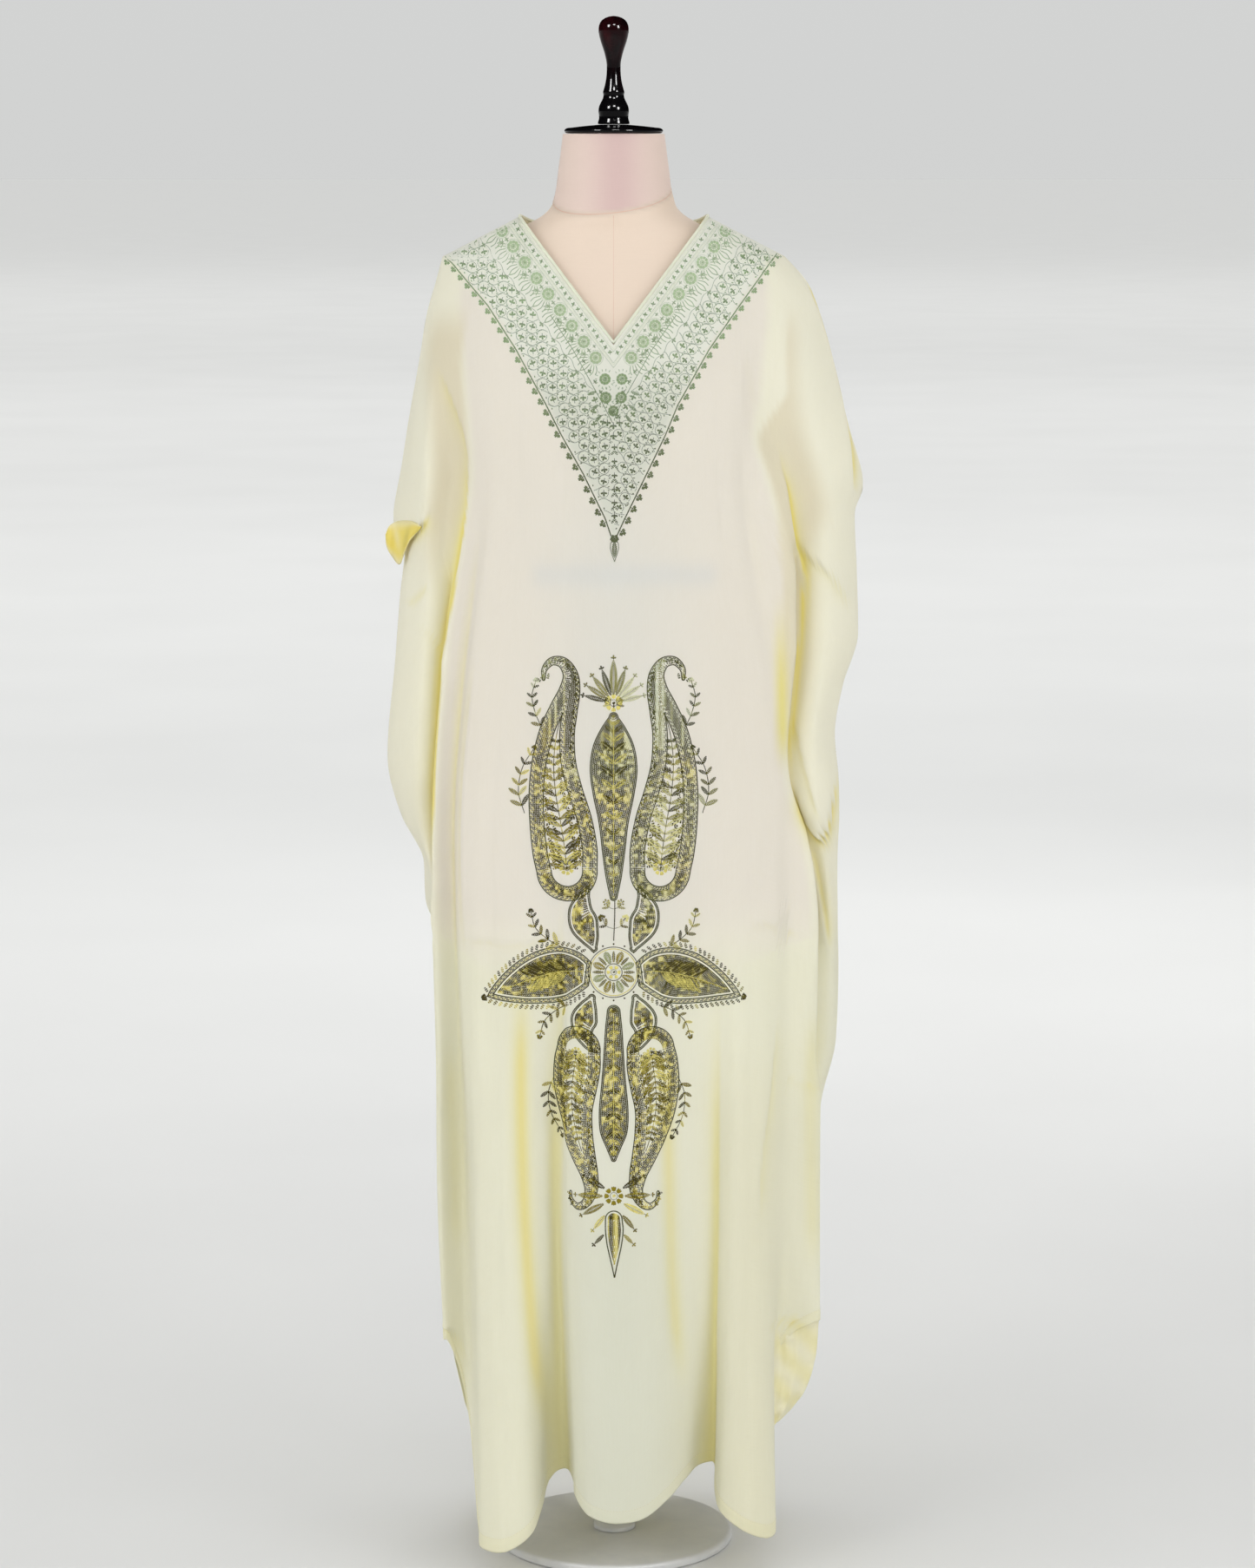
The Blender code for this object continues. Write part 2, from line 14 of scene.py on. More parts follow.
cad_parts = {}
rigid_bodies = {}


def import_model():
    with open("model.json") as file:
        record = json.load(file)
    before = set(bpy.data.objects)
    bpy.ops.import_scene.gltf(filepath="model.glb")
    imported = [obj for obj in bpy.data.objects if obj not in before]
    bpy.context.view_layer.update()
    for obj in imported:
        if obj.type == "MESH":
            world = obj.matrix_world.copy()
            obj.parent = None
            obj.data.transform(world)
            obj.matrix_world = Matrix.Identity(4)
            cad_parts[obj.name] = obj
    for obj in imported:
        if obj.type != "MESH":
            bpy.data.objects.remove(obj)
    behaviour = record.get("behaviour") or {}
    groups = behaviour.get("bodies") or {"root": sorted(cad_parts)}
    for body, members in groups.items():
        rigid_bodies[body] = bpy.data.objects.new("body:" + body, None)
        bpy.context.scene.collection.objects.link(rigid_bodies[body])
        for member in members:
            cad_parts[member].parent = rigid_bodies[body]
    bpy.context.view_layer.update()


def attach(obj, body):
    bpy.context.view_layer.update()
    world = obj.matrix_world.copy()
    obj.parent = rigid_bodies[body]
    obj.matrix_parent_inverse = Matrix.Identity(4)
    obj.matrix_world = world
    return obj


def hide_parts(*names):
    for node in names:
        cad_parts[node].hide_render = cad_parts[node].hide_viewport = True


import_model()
MM = 0.001

# ---- sizes ------------------------------------------------------------------
WALL = 0.9             # cloth as it shows
SEAM_GAP = 0.25        # half of the gap that parts two sewn edges
NECK_POINT_X = 96.0
NECK_POINT_Z = 1392.0
NOTCH_Z = 1267.0
BACK_NECK_Z = 1383.0
SHOULDER_X = 174.0
SHOULDER_Z = 1352.0
SLEEVE_END = {-1: 1070.0, 1: 1113.0}
OPENING_END = {-1: 702.0, 1: 748.0}
OPENING_WIDE = {-1: 40.0, 1: 34.0}
PIPING = 3.4
EASE = 7.0
LIP = 5.0
LEVELS = (1120.0, 760.0, 420.0, 60.0)
POLE_R = 11.0
BASE_R = 125.0
BASE_H = 9.0

# ---- the cloth's plan curves, as the frame has them ---------------------------
FRONT = """
name         x_bust x_hip x_knee x_hem   y_bust y_hip y_knee y_hem  hem_z
dip_side_l    -130  -163   -156  -154     -112   -94   -70    -48    164
lobe_l_side   -120  -158   -147  -141     -118  -114  -106    -84     33
lobe_l_out    -106  -144   -138  -135     -122  -121  -132   -134     31
lobe_l         -88  -122   -117  -112     -126  -128  -142   -154     34
lobe_l_in      -74  -100    -97   -87     -128  -132  -142   -140     46
dip_l_side     -66   -86    -82   -75     -129  -134  -134    -84     56
dip_l          -58   -74    -70   -64     -130  -136  -120    -14     70
dip_l_back     -50   -63    -59   -50     -131  -137  -108      2     73
dip_l_in       -44   -53    -53   -41     -131  -137  -118    -50     78
lobe_m_side    -36   -44    -47   -38     -132  -138  -140   -118     80
lobe_m_out     -24   -30    -34   -26     -133  -139  -155   -156     74
lobe_m           0     0      0     2     -133  -140  -161   -168     69
lobe_m_in       22    28     30    30     -133  -140  -158   -158     71
dip_r_side      40    50     52    52     -132  -138  -147   -126     78
dip_r_in        54    70     74    74     -131  -135  -127    -62     83
dip_r           66    89     93    92     -130  -131  -112      0     80
dip_r_back      73   101    105   102     -129  -129  -106      6     80
lobe_r_side     80   112    112   104     -128  -127  -120    -60     68
lobe_r_out      91   125    122   111     -126  -124  -134   -120     64
lobe_r         104   139    138   134     -123  -119  -134   -144     53
lobe_r_in      116   153    153   158     -119  -113  -124   -128     40
side_r         123   163    163   168     -115  -108  -108    -76     37
dip_side_r     128   177    178   152     -112  -100   -88    -22    212
"""
BACK = """
name        x_bust x_hip x_knee x_hem   y_bust y_hip y_knee y_hem  hem_z
side_l       -126  -152   -150  -148      104   102   104     92     74
lobe_l       -106  -128   -126  -122      109   110   124    136     44
lobe_l_in     -90  -108   -106  -102      111   114   120    118     44
dip_l         -72   -86    -84   -82      112   117   112     78     46
lobe_ml       -48   -58    -58   -58      113   121   140    150     42
dip_m         -22   -26    -24   -20      113   122   120     92     46
lobe_m          4     8     12    18      112   121   136    150     41
dip_r          34    40     46    52      112   119   116     82     46
lobe_mr        62    74     80    86      112   117   136    148     42
dip_rr         88   108    114   118      110   112   112     80     46
lobe_r        110   134    140   142      107   108   122    122     46
side_r        128   158   164   160      102   100   104     94     80
"""
LEFT = """
z     ridge_x ridge_y valley_x valley_y sleeve_x sleeve_y roll_x roll_y edge_x edge_y
1330   140     -66     156     -50      164      -40      172    -30     180     0
1300   146     -78     162     -54      172      -44      181    -38     189     0
1249   153     -88     166     -58      181      -48      187    -52     198     0
1190   148     -96     163     -62      186      -52      193    -62     209     0
1141   145    -100     160     -60      189      -52      197    -66     217     0
1086   153    -100     160     -52      190      -50      200    -62     226     0
1060   157     -99     159     -46      188      -52      202    -56     213   -20
1013   165     -98     161     -38      187      -56      204    -50     218   -24
942    173     -98     163     -30      193      -56      210    -48     224   -24
841    182     -98     170     -26      199      -50      216    -40     233   -18
782    184     -98     172     -24      195      -44      208    -32     220   -14
731    184     -97     172     -24      186      -36      190    -24     197    -8
691    184     -96     171     -24      181      -28      188    -18     196    -2
642    179     -93     171     -28      168      -12      170     -2     177     8
532    178     -89     171     -30      164      -10      161      0     159    12
423    179     -85     172     -30      163      -10      158      0     153    12
180    173     -68     167     -30      159      -10      153      1     148    12
"""
RIGHT = """
z     ridge_x ridge_y valley_x valley_y sleeve_x sleeve_y roll_x roll_y edge_x edge_y
1330   136     -72     158     -54      174      -40      186    -24     194     0
1295   134     -82     160     -56      188      -44      203    -30     210     0
1255   134     -92     163     -58      196      -48      214    -38     221     0
1187   134    -100     167     -58      206      -54      229    -44     237     0
1122   142    -104     173     -54      214      -56      242    -42     253     0
1095   146    -104     177     -50      216      -56      236    -38     245   -10
1036   155    -102     183     -46      218      -56      238    -40     248   -16
971    162    -100     183     -40      216      -58      238    -42     250   -18
918    169     -98     181     -34      208      -58      225    -42     235   -18
866    176     -96     178     -30      204      -58      218    -42     227   -18
822    181     -95     177     -28      206      -58      222    -42     231   -16
771    187     -93     180     -30      208      -54      224    -38     232   -12
736    193     -91     186     -36      216      -44      226    -28     231    -6
677    197     -89     192     -40      222      -44      230    -22     232     4
616    199     -86     196     -42      224      -40      231    -20     234     6
543    204     -80     201     -44      222      -36      230    -18     232     6
488    213     -66     211     -42      216      -26      219    -10     220     8
440    217     -60     216     -38      214      -20      210     -6     207     9
324    217     -56     216     -34      212      -18      207     -5     203    10
180    215     -54     214     -32      210      -16      205     -4     200    10
"""
BACK_LEFT = """
z     wide_x wide_y ridge_x ridge_y
1330   178     14    138     58
1249   195     22    148     80
1190   205     26    145     88
1141   212     30    141     92
1086   221     31    146     93
1060   211     33    149     93
1036   212     36    152     94
942    217     46    162     93
841    223     48    170     92
782    212     46    174     92
731    196     42    174     92
642    178     38    170     90
539    171     38    168     88
441    170     40    168     88
180    169     40    162     84
"""
BACK_RIGHT = """
z     wide_x wide_y ridge_x ridge_y
1330   190     14    138     58
1255   217     24    140     82
1187   231     28    139     90
1122   246     32    144     93
1036   240     42    154     94
971    240     46    160     94
918    226     46    166     93
866    219     46    171     92
793    221     44    178     90
731    224     42    184     88
654    228     40    192     86
592    228     38    197     84
543    225     38    199     84
488    216     38    198     86
408    211     38    196     88
240    211     38    192     88
180    205     40    184     88
120    190     42    172     88
"""
SIDE_HEMS = """
panel side  edge lip roll sleeve valley ridge
-1    -1    214  214  216  219    226    236
-1     1    243  243  244  246    250    252
1     -1    214  212  200  184    160    120
1      1    243  240  214  188    160    126
"""
DROOPS = """
side  z     drop  half  bulge  start  full
-1    1076    8    12     10    2.2    1.5
1      772    9    24     11    4.6    2.9
"""
FORM = """
z     wide  front  back  square
668    136    92    96    2.3
674    143    98   103    2.3
700    150   102   110    2.3
780    154   104   115    2.3
860    147    99   106    2.3
940    127    91    86    2.2
1030   110    88    76    2.2
1095   124   104    84    2.2
1150   140   119    92    2.3
1200   147   114    96    2.3
1250   152   100    97    2.3
1300   157    84    91    2.3
1325   157    74    84    2.3
1342   150    67    77    2.3
1358   134    61    70    2.3
1372   112    56    64    2.3
1383    91    54    60    2.2
1392    74    54    58    2.1
1400    65    53    57    2.0
1412  60.5    52    56    2.0
1440    56    49    53    2.0
1475  51.5    46    48    2.0
"""

# ---- creases laid one by one: the panel, the kind, a half width, a height (below
# nought: a trough, or the other side raised), how much painted yellow shade its hollow
# gets, and its line in x and z. A step is the edge of a fold: walking the line, its left is up.
CREASES = (
    (-1, "step", 9, 2.4, 0.5, ((-179, 1248), (-163, 1215), (-149, 1176), (-145, 1141), (-147, 1100))),
    (-1, "step", 11, 1.6, 1.4, ((-148, 1160), (-146, 1120), (-150, 1080), (-160, 1021), (-172, 951), (-179, 862), (-183, 782), (-186, 730))),
    (-1, "step", 11, 2.1, 0.3, ((-138, 962), (-149, 873), (-154, 784), (-152, 678), (-147, 641))),
    (-1, "fold", 7, 1.7, 0.0, ((-122, 1040), (-131, 930), (-137, 760), (-139, 600), (-134, 430))),
    (-1, "fold", 3, -1.3, 0.3, ((-211, 1004), (-200, 1010), (-188, 1024))),
    (-1, "step", 6, 1.4, 0.3, ((-196, 989), (-176, 962), (-173, 925), (-176, 890))),
    (-1, "step", 8, 3.6, 1.3, ((-229, 1052), (-223, 1066), (-209, 1071), (-193, 1084), (-184, 1100))),
    (-1, "step", 7, -3.4, 1.6, ((190, 1342), (217, 1264), (236, 1178), (243, 1121), (243, 1108))),
    (-1, "step", 9, -2.4, 1.5, ((163, 1172), (169, 1142), (174, 1123), (182, 1071), (190, 1045), (190, 1012), (180, 899), (177, 853), (184, 816))),
    (-1, "step", 10, 1.5, 0.4, ((180, 1072), (194, 1056), (217, 1037), (242, 1003))),
    (-1, "step", 8, 1.5, 0.4, ((181, 899), (189, 857), (201, 812), (210, 780))),
    (-1, "step", 10, 3.4, 1.1, ((182, 822), (194, 786), (208, 764), (217, 770), (223, 798), (229, 832))),
    (-1, "step", 9, -2.4, 0.8, ((199, 764), (207, 728), (216, 684), (222, 640))),
    (-1, "step", 7, 2.2, 0.12, ((134, 680), (150, 684), (164, 679), (178, 676), (192, 666))),
    (-1, "step", 8, 1.8, 0.2, ((172, 522), (195, 513), (217, 500))),
    (-1, "step", 12, -2.0, 0.3, ((167, 590), (159, 504), (151, 440), (147, 366))),
    (-1, "step", 7, 1.9, 0.15, ((-158, 668), (-129, 669), (-94, 666), (-59, 678))),
    (-1, "fold", 8, -2.2, 0.75, ((-92, 655), (-94, 517), (-90, 381), (-79, 234), (-62, 123))),
    (-1, "fold", 7, -1.6, 0.7, ((53, 590), (56, 445), (61, 308), (72, 190))),
    (-1, "fold", 10, 1.8, 0.0, ((36, 330), (38, 220), (42, 110))),
    (-1, "step", 5, 2.0, 0.4, ((158, 262), (179, 254), (206, 250))),
    (-1, "fold", 4, 1.8, 0.3, ((166, 244), (186, 230), (214, 224))),
    (-1, "fold", 4, -1.6, 0.4, ((178, 262), (196, 240), (204, 222))),
    (-1, "step", 6, 1.8, 0.4, ((-186, 252), (-168, 242), (-152, 214))),
    (-1, "fold", 6, 1.3, 0.0, ((136, 930), (142, 790), (139, 700))),
    (-1, "fold", 8, 1.5, 0.0, ((196, 640), (190, 520), (192, 380), (196, 260))),
    (-1, "fold", 8, -1.6, 0.3, ((206, 600), (203, 500), (205, 400), (208, 300))),
    (-1, "fold", 9, 1.4, 0.0, ((-112, 560), (-116, 430), (-112, 290))),
    (-1, "fold", 6, -1.2, 0.2, ((-168, 560), (-164, 430), (-162, 320))),
    (-1, "fold", 7, 1.2, 0.0, ((110, 560), (116, 430), (112, 300), (110, 180))),
    (1, "step", 9, -2.4, 0.5, ((-182, 1250), (-160, 1200), (-150, 1130), (-152, 1060))),
    (1, "step", 9, 2.4, 0.5, ((184, 1250), (166, 1190), (158, 1120), (162, 1050), (170, 960))),
    (1, "step", 8, 1.9, 0.15, ((-150, 676), (-110, 668), (-62, 674))),
    (1, "step", 8, 2.1, 0.15, ((58, 668), (104, 676), (158, 666))),
    (1, "fold", 8, 1.7, 0.0, ((-128, 900), (-134, 760), (-130, 600), (-126, 430))),
    (1, "fold", 9, -1.8, 0.5, ((-60, 600), (-66, 440), (-70, 280))),
    (1, "fold", 9, -1.8, 0.5, ((66, 620), (74, 460), (82, 290), (86, 190))),
    (1, "step", 11, 1.8, 0.25, ((150, 610), (156, 500), (150, 380))),
    (1, "fold", 8, 1.5, 0.0, ((8, 540), (12, 380), (16, 220))),
    (1, "fold", 5, -1.5, 0.3, ((-196, 1010), (-178, 960), (-176, 900))),
    (1, "step", 7, 1.8, 0.3, ((186, 1060), (206, 1030), (226, 980))),
    (1, "fold", 6, 1.5, 0.2, ((170, 250), (190, 236), (206, 226))),
)

SIDE = BACK_SIDE = HEMS = form_rows = None


def table(text):
    lines = [line.split() for line in text.strip().splitlines()]
    rows = lines[1:]
    named = {}
    for i, name in enumerate(lines[0]):
        cells = [r[i] for r in rows]
        named[name] = cells if name == "name" else np.array([float(c) for c in cells])
    return named


def smooth(t):
    t = np.clip(t, 0.0, 1.0)
    return t * t * (3 - 2 * t)


def slopes(x, y):
    h = np.diff(x)
    d = np.diff(y) / h
    m = np.zeros_like(y, dtype=float)
    m[0], m[-1] = d[0], d[-1]
    m[1:-1] = (d[:-1] * h[1:] + d[1:] * h[:-1]) / (h[:-1] + h[1:])
    flat = d[:-1] * d[1:] <= 0
    m[1:-1][flat] = 0.0
    low = 2.5 * np.minimum(abs(d[:-1]), abs(d[1:]))
    m[1:-1] = np.clip(m[1:-1], -low, low)
    return m


def through(x, y, at):
    """The smooth curve through (x, y), with x rising, read at the places at."""
    x, y, at = np.asarray(x, float), np.asarray(y, float), np.asarray(at, float)
    m = slopes(x, y)
    i = np.clip(np.searchsorted(x, at, side="right") - 1, 0, len(x) - 2)
    h = x[i + 1] - x[i]
    t = np.clip((at - x[i]) / h, 0.0, 1.0)
    return (
        y[i] * (1 + 2 * t) * (1 - t) ** 2
        + m[i] * h * t * (1 - t) ** 2
        + y[i + 1] * t * t * (3 - 2 * t)
        + m[i + 1] * h * t * t * (t - 1)
    )


def by_height(rows, name, z):
    return through(rows["z"][::-1], rows[name][::-1], z)


def by_level(rows, axis, z):
    names = [f"{axis}_{n}" for n in ("bust", "hip", "knee", "hem")]
    values = np.array([rows[n] for n in names])
    return np.array([through(LEVELS[::-1], values[::-1, i], z) for i in range(values.shape[1])])


SIDE = {-1: table(LEFT), 1: table(RIGHT)}
BACK_SIDE = {-1: table(BACK_LEFT), 1: table(BACK_RIGHT)}
HEMS = table(SIDE_HEMS)
# the folds beside the body stand closer here, as sharp edges over the sleeves,
# and above the sleeve openings they are soft and shallow
left, right = SIDE[-1], SIDE[1]
right["ridge_x"] = np.interp(
    -right["z"],
    [-1330, -1255, -1187, -1142, -1123, -1071, -1030, -1000, -899, -853, -813, -764, -700, -640, -543, -488, -180],
    [136, 134, 140, 152, 160, 174, 184, 185, 177, 174, 181, 198, 206, 207, 207, 213, 215],
)
right["valley_x"] = np.where(right["z"] < 1090, right["ridge_x"] - 3, right["ridge_x"] + 18)
for rows, low, high in ((left, 1000.0, 1086.0), (right, 1030.0, 1110.0)):
    soft = smooth((rows["z"] - low) / (high - low))
    tight = rows["valley_x"] > rows["ridge_x"]
    near = rows["ridge_x"] + 0.3 * (rows["valley_x"] - rows["ridge_x"])
    wide = np.maximum(rows["valley_x"], rows["ridge_x"] + 16)
    rows["valley_x"] = np.where(tight, near + (wide - near) * soft, rows["valley_x"])
    close = smooth((rows["z"] - 640) / 90)
    forward = rows["ridge_y"] + 9 + 14 * (1 - smooth((rows["z"] - 760) / 90))
    rows["sleeve_y"] += (np.minimum(rows["sleeve_y"], forward) - rows["sleeve_y"]) * close
    rows["roll_y"] += (np.minimum(rows["roll_y"], forward + 10) - rows["roll_y"]) * close * 0.8
    rows["valley_y"] += (rows["sleeve_y"] + 4 - rows["valley_y"]) * close
STATIONS = ("edge", "lip", "roll", "sleeve", "valley", "ridge")
BESIDE = len(STATIONS)
form_rows = table(FORM)


def form_at(name, z):
    return through(form_rows["z"], form_rows[name], z)


def half_width(side, z):
    z = np.asarray(z, float)
    over = SHOULDER_X - (SHOULDER_X - NECK_POINT_X) * np.clip(
        (z - SHOULDER_Z) / (NECK_POINT_Z - SHOULDER_Z), 0, 1.6
    )
    rows = SIDE[side]
    heights = np.concatenate([[SHOULDER_Z], rows["z"]])[::-1]
    reach = np.concatenate([[SHOULDER_X], rows["edge_x"]])[::-1]
    return np.where(z > SHOULDER_Z, over, through(heights, reach, np.minimum(z, SHOULDER_Z)))


def on_form(side, way, x, z):
    deep = form_at("front" if way < 0 else "back", z) + EASE
    share = np.clip(abs(x) / half_width(side, z), 0, 1)
    return way * deep * (1 - share**2.3) ** (1 / 2.3)


def opening(side, z):
    top, end = SLEEVE_END[side], OPENING_END[side]
    return OPENING_WIDE[side] * np.sin(math.pi * np.clip((top - z) / (top - end), 0, 1)) ** 0.8


def eased(folds):
    """The folds with their valleys drawn a little nearer to the lobes beside them."""
    n = np.arange(len(folds["name"]))
    part = [name.split("_") for name in folds["name"]]
    lobes = np.array([k for k in n if part[k][0] == "lobe" and part[k][-1] not in ("side", "in", "out")])
    for level, share in (("hip", 0.2), ("knee", 0.45), ("hem", 0.5)):
        y = folds[f"y_{level}"]
        over = np.interp(n, lobes, y[lobes])
        inside = (n > lobes[0]) & (n < lobes[-1]) & (abs(y) < abs(over))
        folds[f"y_{level}"] = np.where(inside, y + share * (over - y), y)
    # the hem keeps its outline from the front
    folds["hem_z"] = folds["hem_z"] + 0.36 * abs(folds["y_hem"] - y)
    return folds


class Panel:
    """The front (way -1) or the back (way 1) of the kaftan, as a fine surface."""

    def __init__(self, way):
        self.way = way
        self.folds = eased(table(FRONT if way < 0 else BACK))
        self.count = len(self.folds["name"]) + 2 * BESIDE
        self.middle = self.folds["name"].index("lobe_m") + BESIDE

    def beside(self, side, z):
        edge_x, edge_y = (by_height(SIDE[side], f"edge_{a}", z) for a in "xy")
        if self.way < 0:
            edge_y = edge_y - SEAM_GAP
            found = [(edge_x, edge_y), (edge_x, edge_y - LIP)]
            for name in STATIONS[2:]:
                found.append(tuple(by_height(SIDE[side], f"{name}_{a}", z) for a in "xy"))
            return found
        apart = opening(side, z)
        edge_x, edge_y = edge_x - 0.12 * apart, np.maximum(edge_y + apart, 0) + SEAM_GAP
        wide_x, wide_y, ridge_x, ridge_y = (
            by_height(BACK_SIDE[side], n, z) for n in ("wide_x", "wide_y", "ridge_x", "ridge_y")
        )
        wide_y = np.maximum(wide_y, edge_y + LIP + 6)
        found = [(edge_x, edge_y), (edge_x, edge_y + LIP), (wide_x, wide_y)]
        for share in (0.38, 0.70, 1.0):
            bow = 7 * math.sin(math.pi * share)
            found.append(
                (wide_x + (ridge_x - wide_x) * share + bow, wide_y + (ridge_y - wide_y) * share + bow)
            )
        return found

    def stations(self, z):
        z = np.asarray(z, float)
        # the valleys deepen late, close above the hem
        low = np.clip((LEVELS[2] - z) / (LEVELS[2] - LEVELS[3]), 0, 1)
        late = z + (LEVELS[2] - LEVELS[3]) * (low - low**1.5)
        fold_x, fold_y = by_level(self.folds, "x", z), by_level(self.folds, "y", late)
        left, right = (self.beside(side, z) for side in (-1, 1))
        x = [-p[0] for p in left] + list(fold_x) + [p[0] for p in right[::-1]]
        y = [p[1] for p in left] + list(fold_y) + [p[1] for p in right[::-1]]
        return np.array(x), np.array(y)

    def hems(self):
        rows = [
            [HEMS[n][i] for n in STATIONS]
            for side in (-1, 1)
            for i in range(len(HEMS["side"]))
            if HEMS["panel"][i] == self.way and HEMS["side"][i] == side
        ]
        return np.concatenate([rows[0], self.folds["hem_z"], rows[1][::-1]])

    def rim(self, side):
        t = 1 - (1 - np.linspace(0, 1, 61)) ** 2
        if self.way < 0:
            neck = np.array([NECK_POINT_X * t, NOTCH_Z + (NECK_POINT_Z - NOTCH_Z) * t])
        else:
            neck = np.array([NECK_POINT_X * t, BACK_NECK_Z + (NECK_POINT_Z - BACK_NECK_Z) * t**9])
        z = np.concatenate(
            [
                np.linspace(NECK_POINT_Z, SHOULDER_Z, 30)[1:],
                np.linspace(SHOULDER_Z, SLEEVE_END[side], 120)[1:],
            ]
        )
        return np.concatenate([neck, [half_width(side, z), z]], axis=1), 60, 89

    def columns(self, at):
        last = self.count - 1
        side = np.where(at < self.middle, -1, 1)
        hem = through(np.arange(self.count), self.hems(), at)
        x_top, z_top = np.zeros(len(at)), np.zeros(len(at))
        for s in (-1, 1):
            rim, neck_point, shoulder = self.rim(s)
            along = np.concatenate([[0], np.cumsum(np.hypot(*np.diff(rim, axis=1)))])
            marks = np.arange(self.middle, (-1 if s < 0 else last + 1), s)
            x_end = self.stations(np.array([SLEEVE_END[s]]))[0][marks, 0]
            share = np.minimum(s * (x_end - x_end[0]) / (s * (x_end[-1] - x_end[0])), 1.0)
            share[-2] = 0.5 * (share[-3] + 1.0)
            knots = ((0, 0), (0.42, along[neck_point]), (0.66, along[shoulder]), (1.0, along[-1]))
            leave = np.interp(share, *zip(*knots))
            for knot, length in knots[1:3]:
                leave[np.argmin(abs(share - knot))] = length
            mine = side == s
            place = np.interp(abs(at[mine] - self.middle), abs(marks - self.middle), leave)
            x_top[mine] = s * np.interp(place, along, rim[0])
            z_top[mine] = np.interp(place, along, rim[1])
        return side, x_top, z_top, hem

    def plan(self, z, at):
        line = np.stack(self.stations(z))
        steps = np.maximum(np.linalg.norm(np.diff(line, axis=1), axis=0), 1e-3)
        d = np.diff(line, axis=1) / steps
        m = np.concatenate(
            [d[:, :1], (d[:, :-1] * steps[1:] + d[:, 1:] * steps[:-1]) / (steps[:-1] + steps[1:]), d[:, -1:]],
            axis=1,
        )
        i = np.clip(np.floor(at).astype(int), 0, self.count - 2)
        t, k = at - i, np.arange(len(z))
        h = steps[i, k]
        return (
            line[:, i, k] * (1 + 2 * t) * (1 - t) ** 2
            + m[:, i, k] * h * t * (1 - t) ** 2
            + line[:, i + 1, k] * t * t * (3 - 2 * t)
            + m[:, i + 1, k] * h * t * t * (t - 1)
        )

    def surface(self, at, down):
        """Points of the surface: rows down (0 to 1) by columns at (in stations)."""
        side, x_top, z_top, hem = self.columns(at)
        z = z_top + (hem - z_top) * down[:, None]
        x, y = self.plan(z.ravel(), np.broadcast_to(at, z.shape).ravel())
        x, y = x.reshape(z.shape), y.reshape(z.shape)
        # above the openings the columns fan in to the neck and the shoulders
        every = np.linspace(0, self.count - 1, 8 * self.count)
        level, gap = np.arange(1060.0, 1404.0, 2.0), 2.0
        cut = self.plan(np.repeat(level, len(every)), np.tile(every, len(level)))
        cut = np.array(cut).reshape(2, len(level), len(every))
        cut[0] = np.maximum.accumulate(cut[0], axis=1)
        for s in (-1, 1):
            mine = np.flatnonzero(side == s)
            x_end = self.plan(np.full(len(mine), SLEEVE_END[s]), at[mine])[0]
            zs = z[:, mine]
            high = zs > SLEEVE_END[s]
            fall = (z_top[mine] - zs) / np.maximum(z_top[mine] - SLEEVE_END[s], 1e-6)
            xs = x_top[mine] + (x_end - x_top[mine]) * smooth(fall)
            k = np.clip(((zs - level[0]) / gap).astype(int), 0, len(level) - 2)
            part = (zs - level[k]) / gap
            flat = np.zeros_like(xs)
            for n in np.unique(k[high]):
                here = high & (k == n)
                low_y = np.interp(xs[here], cut[0, n], cut[1, n])
                top_y = np.interp(xs[here], cut[0, n + 1], cut[1, n + 1])
                flat[here] = low_y + (top_y - low_y) * part[here]
            lies = smooth((zs - 1130) / 170)
            rest = lies * on_form(s, self.way, xs, zs) + (1 - lies) * flat
            ys = self.way * np.maximum(self.way * rest, SEAM_GAP)
            ys[0, abs(xs[0]) > NECK_POINT_X - 0.01] = self.way * SEAM_GAP
            x[:, mine] = np.where(high, xs, x[:, mine])
            y[:, mine] = np.where(high, ys, y[:, mine])
        return self.droop(np.stack([x, y, z], axis=2), at)

    def droop(self, points, at):
        if self.way > 0:
            return points
        rows = table(DROOPS)
        for k in range(len(rows["z"])):
            from_edge = at if rows["side"][k] < 0 else self.count - 1 - at
            a, b = rows["start"][k], rows["full"][k]
            much = smooth((a - from_edge) / (a - b))[None, :]
            t = (rows["z"][k] - points[..., 2]) / rows["half"][k]
            points[..., 2] += much * rows["drop"][k] * t * np.exp(-0.5 * t * t)
            points[..., 1] -= much * rows["bulge"][k] * np.exp(-0.5 * (t + 0.9) ** 2)
        return points


# ---- meshes -------------------------------------------------------------------
THROUGH = (1.0, 0.965, 0.80)   # what the cloth does to light that comes through it


def srgb(*rgb):
    """Linear colour of an sRGB one, given from 0 to 255."""
    c = np.array(rgb, float) / 255
    return np.where(c <= 0.04045, c / 12.92, ((c + 0.055) / 1.055) ** 2.4)


